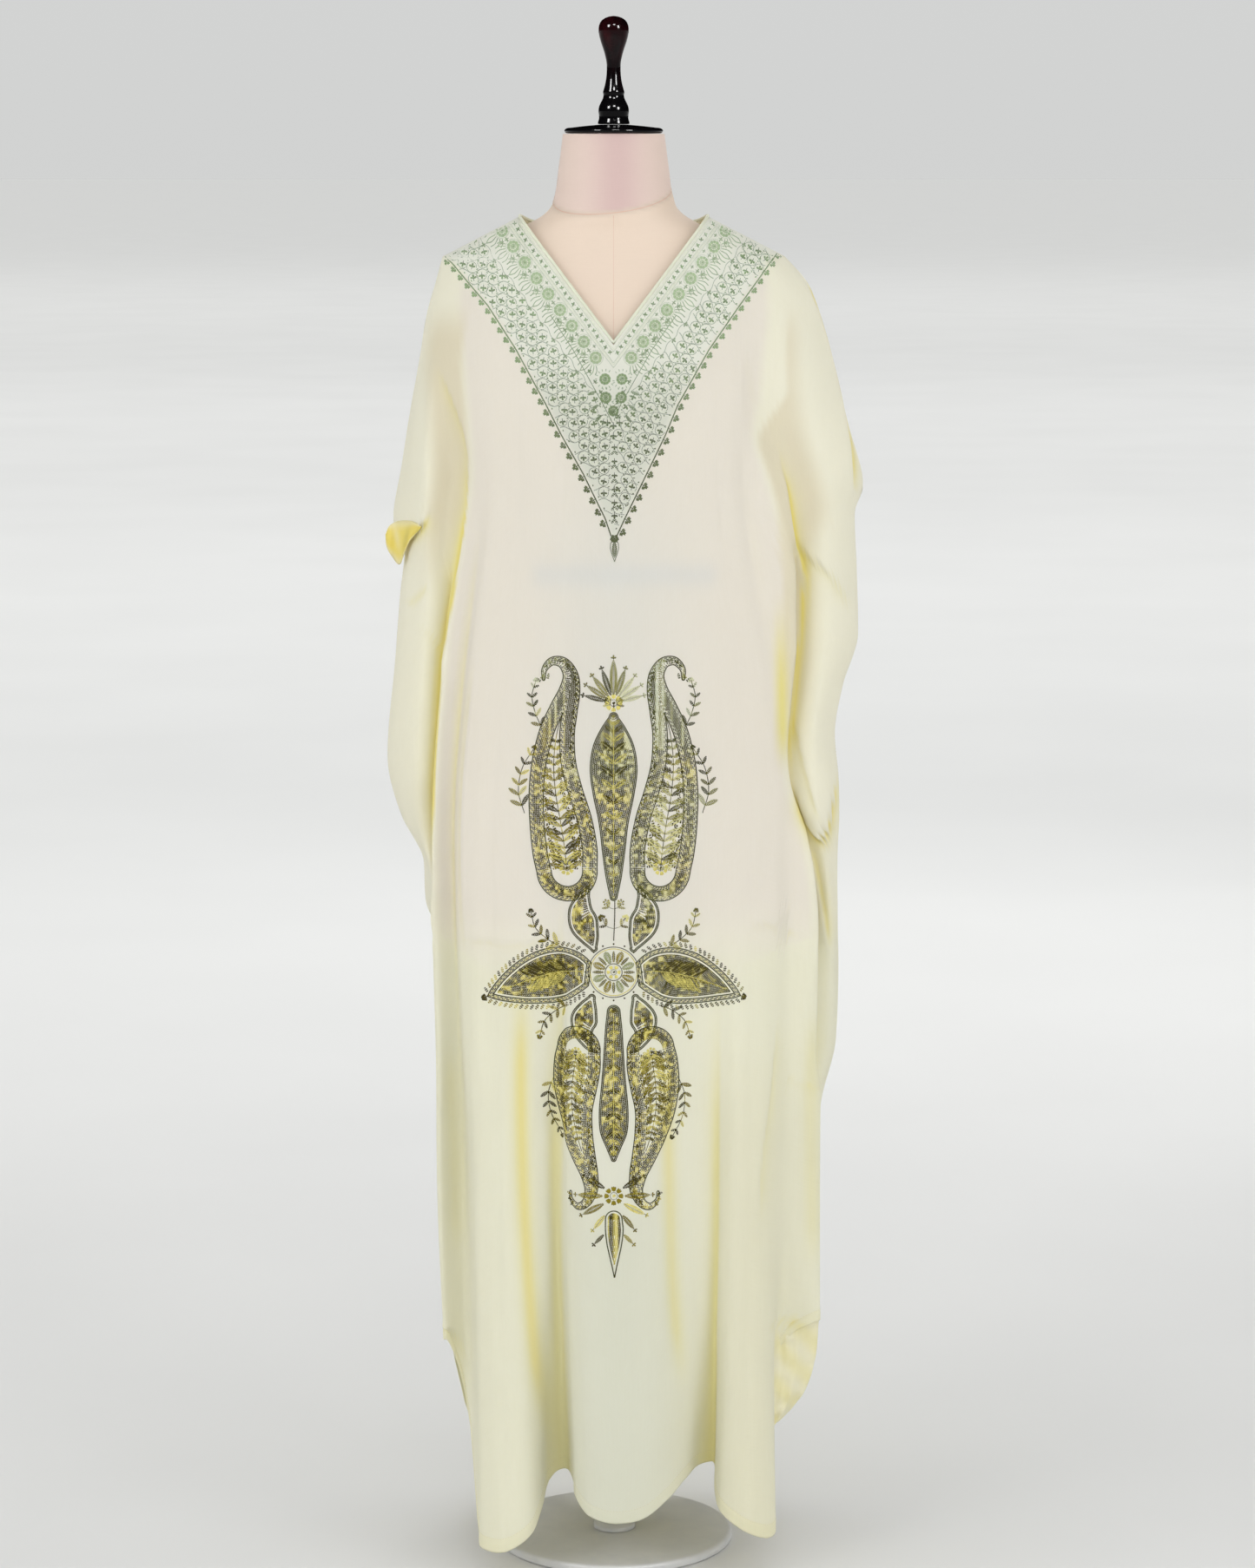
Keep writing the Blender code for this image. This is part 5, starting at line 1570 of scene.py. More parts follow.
def skirt_stitches(lay):
    sewn = Stitches(23)
    rand = sewn.random
    for side in (-1, 1):
        flip = np.array([side, 1.0])
        # the tall paisley, and the low one hung upside down
        for key, inset in (("tall", 0.56), ("low", 0.52)):
            outline, middle, r = swept(SPINES[key], side)
            band = 15.5 if key == "tall" else 13.5
            filled(sewn, outline, ((1.4, "dark"), (4.2, "dots"), (band - 3.6, "fill"), (band - 1.0, "dots"), (band, "dark"), (99, "gap")))
            # inside its band an open sprig: leaflets off a stem, and flowers between
            last = int(np.flatnonzero(r > band + 1.5)[-1])
            path = middle[0 : last + 4]
            sewn.line(path, mottled(path, -0.2), 2.2, 1.1, 0.2, 1.4, 0.6)
            for n, k in enumerate(range(1, last, 3)):
                size = (r[k] - band) * 1.16
                if size < 4:
                    continue
                d = middle[k + 1] - middle[k]
                a = math.atan2(d[1], d[0])
                for hand in (-1, 1):
                    way = a + hand * (0.95 if n % 2 else 1.15)
                    tone = mottled(middle[k : k + 1] + hand * 3.0, -0.10 + 0.3 * rand.random())[0]
                    sewn.leaf(middle[k], way, size, size * 0.26 + 0.9, tone, OLIVE)
                    for part, lean in ((0.3, -0.8), (0.45, 0.7), (0.62, -0.7), (0.8, 0.6)):
                        q = middle[k] + size * part * np.array([math.cos(way), math.sin(way)])
                        sewn.leaf(q, way + lean, size * 0.38, 2.4, mottled(q[None], -0.1)[0], None, 3)
            sewn.rosette(middle[2], (r[2] - band) * 0.55, STRAW * 0.9, OLIVE, OLIVE, 8, 0.2)
            # trefoils that stand off its outline
            ring = even(outline, 1.6)
            steps = range(12, len(ring) - 12, 11 if key == "tall" else 10)
            ahead = np.roll(ring, -1, axis=0) - np.roll(ring, 1, axis=0)
            for k in steps:
                out = np.array([ahead[k, 1], -ahead[k, 0]])
                out /= np.linalg.norm(out)
                if side < 0:
                    out = -out
                p = ring[k] + out * 3.2
                if side * p[0] < (20 if key == "tall" else 9) or side * out[0] < 0.25:
                    continue
                a = math.atan2(out[1], out[0])
                sewn.trefoil(p, a, 6.8, mottled(p[None], -0.15)[0], OLIVE)
                for lean in (-1, 1):
                    q = p + 3.4 * lean * np.array([-out[1], out[0]])
                    sewn.leaf(q - out * 3.0, a + 0.6 * lean, 6.2, 2.3, mottled(q[None], -0.1)[0], None, 3)
        # side sprays at the waist: leaflets along an arched stem, in a pointed leaf
        arch = np.array([(22, 640), (48, 640), (76, 634), (104, 624), (132, 612)], float)
        leafline = spline_path(arch)
        wide = 29.0 * np.sin(math.pi * np.linspace(0.05, 1, len(leafline)) ** 0.8) ** 0.8
        d = np.gradient(leafline, axis=0)
        d /= np.linalg.norm(d, axis=1, keepdims=True)
        n = np.stack([-d[:, 1], d[:, 0]], axis=1)
        outline = np.concatenate([leafline + n * wide[:, None] * 0.9, (leafline - n * wide[:, None] * 1.05)[::-1][1:-1]])
        filled(sewn, outline * flip, ((1.4, "dark"), (4.2, "dots"), (5.6, "dark"), (7.0, "gap"), (99, "fill")), light=-0.18)
        rim = even(outline * flip, 5.2)
        along = np.roll(rim, -1, axis=0) - np.roll(rim, 1, axis=0)
        heart = (outline * flip).mean(axis=0)
        for q, d2 in zip(rim, along):
            out = np.array([d2[1], -d2[0]]) / max(np.hypot(*d2), 1e-9)
            if np.dot(out, q - heart) < 0:
                out = -out
            if side * q[0] < 30:
                continue
            sewn.leaf(q + out * 0.6, math.atan2(out[1], out[0]) + 0.6 * side, 6.0, 2.4, mottled(q[None], -0.2)[0], None, 3)
        sewn.line(leafline[4:-6] * flip, STRAW, 2.4, 1.1, 0.2, 1.5, 1.0)
        for k in np.linspace(10, len(leafline) - 20, 9).astype(int):
            for hand in (-1, 1):
                q, a = leafline[k] * flip, math.atan2(d[k, 1], side * d[k, 0])
                tone = OLIVE if hand * side > 0 else STRAW
                sewn.leaf(q, a + hand * 0.7, wide[k] * 0.75, wide[k] * 0.24, tone, STRAW if tone is OLIVE else OLIVE)
        sewn.trefoil(np.array([134, 611]) * flip, math.atan2(-0.35, side), 8.0, OLIVE * 1.2, OLIVE, 3)
        # drops above and below the waist, with a band and an open heart
        for text in (
            "x z r\n20 664 4\n24 674 10\n30 688 15\n33 702 13\n30 716 7\n26 724 3",
            "x z r\n22 614 4\n26 604 10\n30 592 14\n31 580 11\n27 568 6\n23 561 2.5",
        ):
            drop, heart, r = swept(text, side)
            filled(sewn, drop, ((3.4, "dark"), (4.4, "gap"), (99, "fill")), light=-0.08)
        # small sprays that fill in beside the paisleys
        for stem, pairs, long in (
            ([(54, 664), (68, 672), (80, 684), (84, 700)], 5, 12.0),
            ([(46, 606), (60, 600), (74, 588), (80, 572)], 5, 11.0),
            ([(90, 800), (96, 822), (92, 846), (80, 866)], 6, 13.0),
            ([(70, 884), (78, 900), (82, 918), (78, 934)], 5, 10.0),
            ([(68, 530), (75, 512), (73, 490), (62, 470)], 6, 11.0),
        ):
            spray(sewn, spline_path(np.array(stem, float)) * flip, pairs, long)
    # the middle: a tall flowering spray above, a narrow one below
    for z0, z1, count, reach, slope in ((672, 712, 2, 12.0, 1.0), (904, 912, 1, 6.0, 1.0)):
        z = np.linspace(z0, z1, 60)
        stem = np.stack([1.2 * np.sin((z - z0) / 23), z], axis=1)
        sewn.line(stem, OLIVE, 2.3, 1.3, 0.2, 1.4, 0.7)
        for n in range(count):
            t = (n + 0.6) / count
            p = np.array([0.0, z0 + (z1 - z0) * t])
            spread = reach * math.sin(math.pi * min(t * 0.9 + 0.12, 1)) ** 0.7
            if slope > 0:
                spread = min(spread, 13.5 + 20 * smooth((880 - p[1]) / 20) * 0 + abs(p[1] - 790) * 0.055)
            else:
                spread = min(spread, 11.0 + abs(p[1] - 540) * 0.05)
            for hand in (-1, 1):
                tip = p + np.array([hand * spread, slope * spread * 0.9])
                bend = p + np.array([hand * spread * 0.65, slope * spread * 0.25])
                path = np.stack([p, bend, tip])
                curve = spline_path(path)
                sewn.line(curve, mottled(curve, -0.2), 2.0, 0.8, 0.2, 1.4, 0.5)
                a = math.atan2(slope * 0.9, hand)
                rgb = mottled(tip[None], 0.1)[0]
                if n % 2:
                    sewn.rosette(tip, 4.2, rgb, OLIVE, STRAW, 6, rand.random())
                else:
                    sewn.trefoil(tip, a, 8.6, rgb, OLIVE, 3)
                sewn.leaf(bend, a + hand * slope * 0.8, 7.5, 2.8, mottled(bend[None], 0.25)[0], OLIVE)
                sewn.leaf(bend, a - hand * slope * 0.9, 7.0, 2.6, mottled(bend[None], 0.0)[0], OLIVE)
    # two filled leaves on the middle line, between the paisleys
    for text in (MIDDLE_HIGH, MIDDLE_LOW):
        outline, middle, r = swept(text, 1)
        filled(sewn, outline, ((2.2, "dark"), (99, "fill")))
        sewn.line(middle[4:-6], STRAW, 2.3, 1.1, 0.15, 1.5, 1.0)
        for n, k in enumerate(range(10, len(middle) - 12, 9)):
            d = middle[k + 1] - middle[k]
            a = math.atan2(d[1], d[0])
            for hand in (-1, 1):
                tone = STRAW if n % 2 else OLIVE
                sewn.leaf(middle[k], a + hand * 0.9, r[k] * 0.7, r[k] * 0.22 + 1, tone, OLIVE if n % 2 else STRAW)
    # a palmette at the top
    base = np.array([0.0, 912.0])
    for k, a in enumerate(np.linspace(0.25, math.pi - 0.25, 9)):
        long = 44.0 if k == 4 else 36.0 - 2.2 * abs(k - 4)
        rgb = mottled((base + 20 * np.array([math.cos(a), math.sin(a)]))[None], 0.1 if k % 2 else -0.15)[0]
        start = base + 8 * np.array([math.cos(a), math.sin(a)])
        sewn.leaf(start, a, long * 0.8, long * 0.2, rgb, OLIVE)
        sewn.trefoil(start + long * 0.84 * np.array([math.cos(a), math.sin(a)]), a, 6.5, rgb * 0.8, OLIVE)
    sewn.rosette(base, 10.0, STRAW, OLIVE, OLIVE, 8)
    # the waist's rosette, in two rings of petals
    centre = np.array([0.0, 640.0])
    ring = np.linspace(0, 2 * math.pi, 80)
    for radius, tone, width in ((25.5, OLIVE, 1.1), (23.6, STRAW, 1.2), (8.5, OLIVE, 1.1)):
        sewn.line(centre + radius * np.stack([np.cos(ring), np.sin(ring)], axis=1), tone, 2.3, width, 0.15, 1.5, 0.6)
    for k in range(8):
        a = 2 * math.pi * (k + 0.5) / 8
        out = np.array([math.cos(a), math.sin(a)])
        sewn.leaf(centre + out * 9, a, 13.0, 8.0, KHAKI if k % 2 else MIST, OLIVE)
        b = a + math.pi / 8
        far = np.array([math.cos(b), math.sin(b)])
        sewn.leaf(centre + far * 10, b, 11.0, 3.0, OLIVE, STRAW)
        sewn.sew([centre + far * 28.5, centre + out * 28.5], b, 2.4, 2.2, OLIVE, 0.8)
    sewn.rosette(centre, 8.0, STRAW, OLIVE, OLIVE, 6)
    # the drop at the foot
    foot = np.array([0.0, 412.0])
    sewn.rosette(foot, 11.0, KHAKI, OLIVE, STRAW, 8)
    outline, _, _ = swept("x z r\n0 388 9\n0.5 376 9.5\n0.5 362 8\n0.5 350 5.5\n0.5 340 3.2\n0.5 332 1.6\n0.5 328 0.8\n", 1)
    filled(sewn, outline, ((0.9, "dark"), (2.4, "gap"), (99, "fill")))
    for side in (-1, 1):
        for x, z, a, long in ((9, 420, 0.5, 22), (11, 412, 0.0, 26), (10, 404, -0.5, 24), (9, 392, -0.9, 18), (10, 372, -0.8, 13)):
            q = np.array([side * x, z])
            turn = a if side > 0 else math.pi - a
            rgb = mottled(q[None] + long / 2, 0.1)[0]
            sewn.leaf(q, turn, long, long * 0.3, rgb, OLIVE)
            sewn.trefoil(q + long * 1.1 * np.array([math.cos(turn), math.sin(turn)]), turn, 6.0, rgb * 0.8, OLIVE)
    for name, keep in (
        ("skirt_embroidery_high", lambda at: at[:, 1] >= 700),
        ("skirt_embroidery_low", lambda at: at[:, 1] < 700),
    ):
        sewn.object(name, lay, keep)


def spline_path(points, steps=10):
    k = np.arange(len(points), dtype=float)
    t = np.linspace(0, len(points) - 1, (len(points) - 1) * steps + 1)
    return np.stack([spline(k, points[:, a], t) for a in (0, 1)], axis=1)


def sleeve_roll(points):
    """The end of the sleeve at the viewer's left, rolled under with its inside out."""
    rows, cols = points.shape[:2]
    tree = BVHTree.FromPolygons(points.reshape(-1, 3).tolist(), grid_faces(rows, cols).tolist())
    top = spline_path(np.array([(-230.5, 1076), (-226.5, 1083), (-217, 1087.5), (-208, 1089), (-200, 1088.5), (-193, 1085)], float), 6)
    low = spline_path(np.array([(-231.5, 1072), (-230.5, 1061), (-225.5, 1051), (-217, 1043.5), (-211.5, 1056), (-205, 1070), (-193.5, 1083)], float), 5)
    depth = []
    for x, z_top in top:
        hit = None
        for inward in np.arange(0.0, 40.0, 2.0):
            hit = tree.ray_cast(Vector((max(x, -219.0) + inward, -400, float(z_top) + 1.5)), Vector((0, 1, 0)))[0]
            if hit is not None:
                break
        depth.append(hit.y)
    depth = np.array(depth)
    k = np.linspace(0, 1, 13)[:, None]
    x = top[None, :, 0] + (low[None, :, 0] - top[None, :, 0]) * k
    z = top[None, :, 1] + (low[None, :, 1] - top[None, :, 1]) * k
    bulge = np.sin(math.pi * np.clip(k * 0.93 + 0.02, 0, 1))
    ends = smooth(np.linspace(0, 1, x.shape[1]) / 0.3) * smooth((1 - np.linspace(0, 1, x.shape[1])) / 0.35)
    y = depth[None] - 1.4 - 5.6 * bulge * ends + 5.0 * k * k + 0.35 * np.sin(x / 2.6 + 7 * k) * ends
    sheet = np.stack([x, y, z], axis=2)
    # painted shade and highlight: the roll is tinted deep yellow for its shade, most in its middle rows, paler at a
    # spot on its left for a painted highlight, and darker along a line for the painted shadow of its fold
    roll_shade = 0.45 + 0.55 * smooth(np.sin(math.pi * k) * 1.3) * np.ones(x.shape)
    roll_shade = roll_shade - 0.35 * np.exp(-((x + 223 - 9 * k) / 4.0) ** 2 - ((k - 0.35) / 0.3) ** 2)
    tone = CREAM + (DEEP_SHADE_YELLOW - CREAM) * np.clip(roll_shade, 0, 1)[..., None]
    tone = tone * (1 - 0.16 * np.exp(-((x + 205 + 8 * k) / 3.5) ** 2 - ((k - 0.55) / 0.35) ** 2)[..., None])
    lay = np.stack([x + 300, z], axis=2) * MM
    mesh = mesh_of("sleeve_roll", sheet.reshape(-1, 3), grid_faces(len(k), len(top)), tone.reshape(-1, 3), lay.reshape(-1, 2))
    ob = show("sleeve_roll", mesh, COTTON)
    wall = ob.modifiers.new("wall", "SOLIDIFY")
    wall.thickness = WALL * MM
    wall.offset = 0.0
    return ob


def corner_cloth(front, behind):
    """The slack corner that hangs crumpled below the side hem."""
    trees = [
        BVHTree.FromPolygons(p.reshape(-1, 3).tolist(), grid_faces(*p.shape[:2]).tolist()) for p in (front, behind)
    ]
    edge = spline_path(np.array([(215, 262), (214, 236), (211, 205), (201, 172), (182, 146), (158, 126)], float), 8)
    inner = spline_path(np.array([(150, 262), (150, 236), (150, 205), (150, 172), (150, 146), (150, 124)], float), 8)
    k = np.linspace(0, 1, 33)[None, :]
    x = inner[:, None, 0] + (edge[:, None, 0] - inner[:, None, 0]) * k
    z = inner[:, None, 1] + (edge[:, None, 1] - inner[:, None, 1]) * k
    y = np.zeros_like(x)
    for j in range(x.shape[0]):
        near = trees[0].ray_cast(Vector((152.0, -400, float(z[j, 0]))), Vector((0, 1, 0)))[0]
        far = None
        for inward in np.arange(0.0, 40.0, 2.0):
            far = trees[1].ray_cast(Vector((float(x[j, -1]) - inward, -400, float(z[j, -1]))), Vector((0, 1, 0)))[0]
            if far is not None:
                break
        a = near.y + 24.0 if near is not None else -60.0
        b = far.y - 3.0 if far is not None else 20.0
        y[j] = a + (min(b, a + 70.0) - a) * smooth(k[0]) ** 1.4
    for i in range(x.shape[1]):
        hem = trees[0].ray_cast(Vector((float(min(x[0, i], 211.0)), -400, 258.0)), Vector((0, 1, 0)))[0]
        if hem is not None:
            y[:, i] = np.maximum(y[:, i], hem.y + 4.0)
    dent = 1.7 * np.sin(x / 5.3 + z / 7.1) * np.sin(z / 6.2 - x / 9.7 + 1) + 1.1 * np.sin(x / 2.9 - z / 4.3) * np.sin(z / 3.7 + x / 6.1)
    y = y + dent * smooth(k / 0.2)
    sheet = np.stack([x, y, z], axis=2)
    # painted shade: the crumpled corner is tinted toward the fold yellow, more and less along one of the waves of its
    # dents
    tone = CREAM + (SHADE_YELLOW - CREAM) * (0.3 + 0.14 * np.sin(x / 5.3 + z / 7.1))[..., None]
    lay = np.stack([x + 400, z], axis=2) * MM
    mesh = mesh_of("corner_cloth", sheet.reshape(-1, 3), grid_faces(*x.shape), tone.reshape(-1, 3), lay.reshape(-1, 2))
    ob = show("corner_cloth", mesh, COTTON)
    wall = ob.modifiers.new("wall", "SOLIDIFY")
    wall.thickness = WALL * MM
    wall.offset = 0.0
    return ob


# ---- hems -------------------------------------------------------------------------------
def seam_stitches(name, lines):
    """Small running stitches along lines of points, with the cloth's normals."""
    verts, rgb = [], []
    for path, normals, pitch in lines:
        s = np.concatenate([[0], np.cumsum(np.linalg.norm(np.diff(path, axis=0), axis=1))])
        where = np.arange(pitch, s[-1] - pitch, pitch)
        at = np.stack([np.interp(where, s, path[:, k]) for k in range(3)], axis=1)
        ahead = np.stack([np.interp(where + 1.0, s, path[:, k]) for k in range(3)], axis=1) - at
        ahead /= np.maximum(np.linalg.norm(ahead, axis=1, keepdims=True), 1e-9)
        up = np.stack([np.interp(where, s, normals[:, k]) for k in range(3)], axis=1)
        up /= np.maximum(np.linalg.norm(up, axis=1, keepdims=True), 1e-9)
        side = np.cross(up, ahead)
        hump = HUMP * (pitch * 0.66, 0.5, 1)
        lift = np.where(HUMP[:, 2] > 0, 0.32, -0.15)
        verts.append(
            at[:, None] + ahead[:, None] * hump[None, :, :1] + side[:, None] * hump[None, :, 1:2] + up[:, None] * lift[None, :, None]
        )
    verts = np.concatenate(verts)
    faces = (HUMP_FACES[None] + 8 * np.arange(len(verts))[:, None, None]).reshape(-1, 3)
    points = verts.reshape(-1, 3)
    mesh = mesh_of(name, points, faces, np.broadcast_to(srgb(232, 226, 190), points.shape))
    return show(name, mesh, THREAD)


def hem_lines(panel, at, down, points, normals):
    row = int(np.argmin(abs(down - 0.9893)))
    lines = [(points[row], normals[row], 3.1)]
    # beside each sleeve opening, eight millimetres in from its edge
    for side in (-1, 1):
        path, ups = [], []
        for j in range(len(down)):
            line, n = points[j], normals[j]
            if side > 0:
                line, n = line[::-1], n[::-1]
            if not OPENING_END[side] - 12 < line[0, 2] < SLEEVE_END[side] - 4:
                continue
            s = np.concatenate([[0], np.cumsum(np.linalg.norm(np.diff(line, axis=0), axis=1))])
            path.append([np.interp(8.0, s, line[:, k]) for k in range(3)])
            ups.append([np.interp(8.0, s, n[:, k]) for k in range(3)])
        if len(path) > 2:
            lines.append((np.array(path), np.array(ups), 3.1))
    return lines


# ---- the form, its cap and knob, and the stand ---------------------------------------------
KNOB = """
z       r
1484.6  0
1484.6  14
1485.0  16
1487    15.9
1489    15.2
1491    14.8
1494    15.0
1497    15.4
1500    15.3
1503    14.6
1506    13.2
1509    11.6
1511    10.8
1513    10.4
1514.5  10.5
1516    10.8
1517.5  10.7
1519    10.2
1524    8.8
1529    7.8
1534    7.2
1539    6.95
1544    7.0
1548    7.5
1552    8.4
1557    9.7
1562    11.4
1567    13.1
1572    14.4
1576    15.1
1580    15.2
1583    14.8
1586    13.6
1588.5  11.6
1590.5  8.6
1591.9  4.6
1592.5  0
"""
CAP = """
z       r
1475.4  0
1475.4  45
1475.6  47.8
1476.4  49.3
1477.6  49.9
1478.8  49.8
1479.8  49.1
1480.5  48.0
1481.0  46.5
1481.4  42
1482.4  34
1483.2  26
1483.8  19
1484.2  15
1484.3  0
"""


def turned(name, text, steps, material, slot, node):
    """A turned piece: its profile goes all round Z, with the ends closed."""
    rows = table(text)
    a = 2 * math.pi * np.arange(steps) / steps
    rings = np.stack(
        [
            np.outer(np.maximum(rows["r"], 0.02), np.cos(a)),
            np.outer(np.maximum(rows["r"], 0.02), np.sin(a)),
            np.outer(rows["z"], np.ones(steps)),
        ],
        axis=2,
    )
    mesh = mesh_of(name, rings.reshape(-1, 3), grid_faces(len(rows["r"]), steps, flip=True, closed=True))
    mesh.set_sharp_from_angle(angle=math.radians(50))
    ob = show(name, mesh, material)
    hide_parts(node)
    return ob


def form_ring(z, angles):
    wide, front, back, square = (float(form_at(k, z)) for k in ("wide", "front", "back", "square"))
    c, s = np.cos(angles), np.sin(angles)
    x = wide * np.sign(c) * abs(c) ** (2 / square)
    y = np.where(s > 0, back, front) * np.sign(s) * abs(s) ** (2 / square)
    return np.stack([x, y, np.full(len(angles), z)], axis=1)


def neck_seam_z(x, y):
    """The seam where the neck is set on: low in front, and a little askew."""
    return 1414 + 18 * y / 55 + 0.10 * x


def form_cover():
    z = np.concatenate([np.linspace(668, 700, 8), np.linspace(710, 1330, 40), np.linspace(1336, 1475, 44)])
    a = 2 * math.pi * (np.arange(96) + 0.5) / 96
    rings = np.array([form_ring(h, a) for h in z])
    rings[..., 0:2] *= 1.0
    n = grid_normals(np.concatenate([rings, rings[:, :1]], axis=1))[:, :-1]
    if (n[40] * rings[40] * (1, 1, 0)).sum() < 0:
        n = -n
    # seams pull in a little: down the middle in front and behind, and round the neck
    x, y, h = (rings[..., k] for k in range(3))
    seam = np.exp(-0.5 * (x / 1.6) ** 2) * (abs(y) > 20) * (h < neck_seam_z(x, y))
    seam = np.maximum(seam * 0.6, np.exp(-0.5 * ((h - neck_seam_z(x, y)) / 1.6) ** 2))
    rings = rings - n * (0.35 * seam)[..., None]
    neck = smooth((h - neck_seam_z(x, y)) / 4)[..., None]
    upper = srgb(224, 203, 191) + (srgb(206, 177, 172) - srgb(224, 203, 191)) * np.exp(-((x - 4) / 27) ** 2)[..., None]
    tint = srgb(225, 205, 186) + (upper - srgb(225, 205, 186)) * neck
    tint = tint * (1 - 0.16 * seam[..., None])
    rows, cols = rings.shape[:2]
    points = rings.reshape(-1, 3)
    lids = np.array([[0, 0, z[0]], [0, 0, z[-1]]])
    quads = grid_faces(rows, cols, flip=True, closed=True)
    tris = np.concatenate([quads[:, [0, 1, 2]], quads[:, [0, 2, 3]]])
    k = np.arange(cols)
    low, top = len(points), len(points) + 1
    last = (rows - 1) * cols
    tris = np.concatenate(
        [
            tris,
            np.stack([(k + 1) % cols, k, np.full(cols, low)], axis=1),
            np.stack([last + k, last + (k + 1) % cols, np.full(cols, top)], axis=1),
        ]
    )
    rgb = np.concatenate([tint.reshape(-1, 3), np.tile(srgb(210, 182, 175), (2, 1))])
    mesh = mesh_of("form_cover", np.concatenate([points, lids]), tris, rgb)
    mesh.set_sharp_from_angle(angle=math.radians(50))
    ob = show("form_cover", mesh, COVER)
    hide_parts("form_body")
    return ob


def form_seams():
    """The sewn lines of the cover, as fine cords sunk in their seams."""
    verts, rgb = [], []
    lines = []
    for way in (-1, 1):
        z = np.arange(690.0, 1396.0 if way < 0 else 1430.0, 2.0)
        y = np.array([float(form_at("front" if way < 0 else "back", h)) for h in z]) * way
        path = np.stack([np.zeros(len(z)), y, z], axis=1)
        lines.append((path, np.tile([0.0, float(way), 0.0], (len(z), 1))))
    a = np.linspace(0, 2 * math.pi, 200)
    path = []
    for t in a:
        h = 1404.0
        for _ in range(4):
            x, y, _z = form_ring(h, np.array([t]))[0]
            h = float(neck_seam_z(x, y))
        path.append(form_ring(h, np.array([t]))[0])
    path = np.array(path)
    lines.append((path, np.stack([np.cos(a), np.sin(a), 0 * a], axis=1)))
    faces, n = [], 0
    for path, up in lines:
        d = np.gradient(path, axis=0)
        d /= np.linalg.norm(d, axis=1, keepdims=True)
        side = np.cross(up, d)
        ring = np.stack(
            [path + side * 0.55 - up * 0.35, path + up * 0.12, path - side * 0.55 - up * 0.35], axis=1
        )
        verts.append(ring.reshape(-1, 3))
        faces.append(grid_faces(len(path), 3) + n)
        n += ring.shape[0] * 3
    verts = np.concatenate(verts)
    mesh = mesh_of("form_seams", verts, np.concatenate(faces), np.broadcast_to(srgb(214, 178, 158), verts.shape))
    return show("form_seams", mesh, COVER)


def neck_cord():
    """Piping round the neck: a cord in bias-cut cloth, drawn tight over it."""
    off = PIPING / 2 - 0.6
    run, rise = NECK_POINT_X, NECK_POINT_Z - NOTCH_Z
    length = math.hypot(run, rise)
    half = [(0.0, float(on_form(1, -1, 0.0, NOTCH_Z)), NOTCH_Z + off * length / run)]
    for t in (0.035, 0.07, 0.13, 0.2, 0.27, 0.34, 0.41, 0.48, 0.55, 0.62, 0.68, 0.74, 0.79, 0.84, 0.88, 0.91, 0.935, 0.96, 0.975, 0.99):
        x, z = run * t, NOTCH_Z + rise * t
        half.append((x - off * rise / length, float(on_form(1, -1, x, z)), z + off * run / length))
    for t in (1.0, 0.99, 0.975, 0.96, 0.935, 0.91, 0.88, 0.84, 0.78, 0.72, 0.64, 0.56, 0.47, 0.38, 0.29, 0.2, 0.1, 0.0):
        x, z = NECK_POINT_X * t, BACK_NECK_Z + (NECK_POINT_Z - BACK_NECK_Z) * t**9
        half.append((x - off * t**3 * 0.6, float(on_form(1, 1, x, z)), z + off))
    half = [p for p in half if p[0] >= 0]
    path = np.array(half + [(-x, y, z) for x, y, z in half[-2:0:-1]])
    closed = np.concatenate([path, path[:1]])
    s = np.concatenate([[0], np.cumsum(np.linalg.norm(np.diff(closed, axis=0), axis=1))])
    where = np.linspace(0, s[-1], 420, endpoint=False)
    line = np.stack([np.interp(where, s, closed[:, k]) for k in range(3)], axis=1)
    for _ in range(2):
        line = 0.5 * line + 0.25 * (np.roll(line, 1, axis=0) + np.roll(line, -1, axis=0))
    d = np.roll(line, -1, axis=0) - np.roll(line, 1, axis=0)
    d /= np.linalg.norm(d, axis=1, keepdims=True)
    out = line * (1, 1, 0)
    out /= np.linalg.norm(out, axis=1, keepdims=True)
    side = np.cross(d, out)
    side /= np.linalg.norm(side, axis=1, keepdims=True)
    up = np.cross(side, d)
    a = 2 * math.pi * np.arange(14) / 14
    rings = line[:, None] + PIPING / 2 * (
        np.cos(a)[None, :, None] * side[:, None] + np.sin(a)[None, :, None] * up[:, None]
    )
    faces = grid_faces(len(line), 14, closed=True)
    around = np.arange(len(line))
    wrap = np.stack([around[-1] * 14 + np.arange(14), np.arange(14), (np.arange(14) + 1) % 14, around[-1] * 14 + (np.arange(14) + 1) % 14], axis=1)
    lay = np.stack([np.repeat(where, 14), np.tile(a * PIPING / 2, len(line))], axis=1) * MM
    points = rings.reshape(-1, 3)
    mesh = mesh_of("neck_cord", points, np.concatenate([faces, wrap]), np.broadcast_to(srgb(240, 243, 228), points.shape), lay)
    ob = show("neck_cord", mesh, PIPED)
    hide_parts("neck_piping")
    return ob


# ---- the object ---------------------------------------------------------------------------
COTTON = cloth_look("kaftan_cotton")
PIPED = cloth_look("piping_cotton", 0.5)
THREAD = thread_look()
COVER = cover_look()
LACQUER = lacquer_look()
PAINT = paint_look()

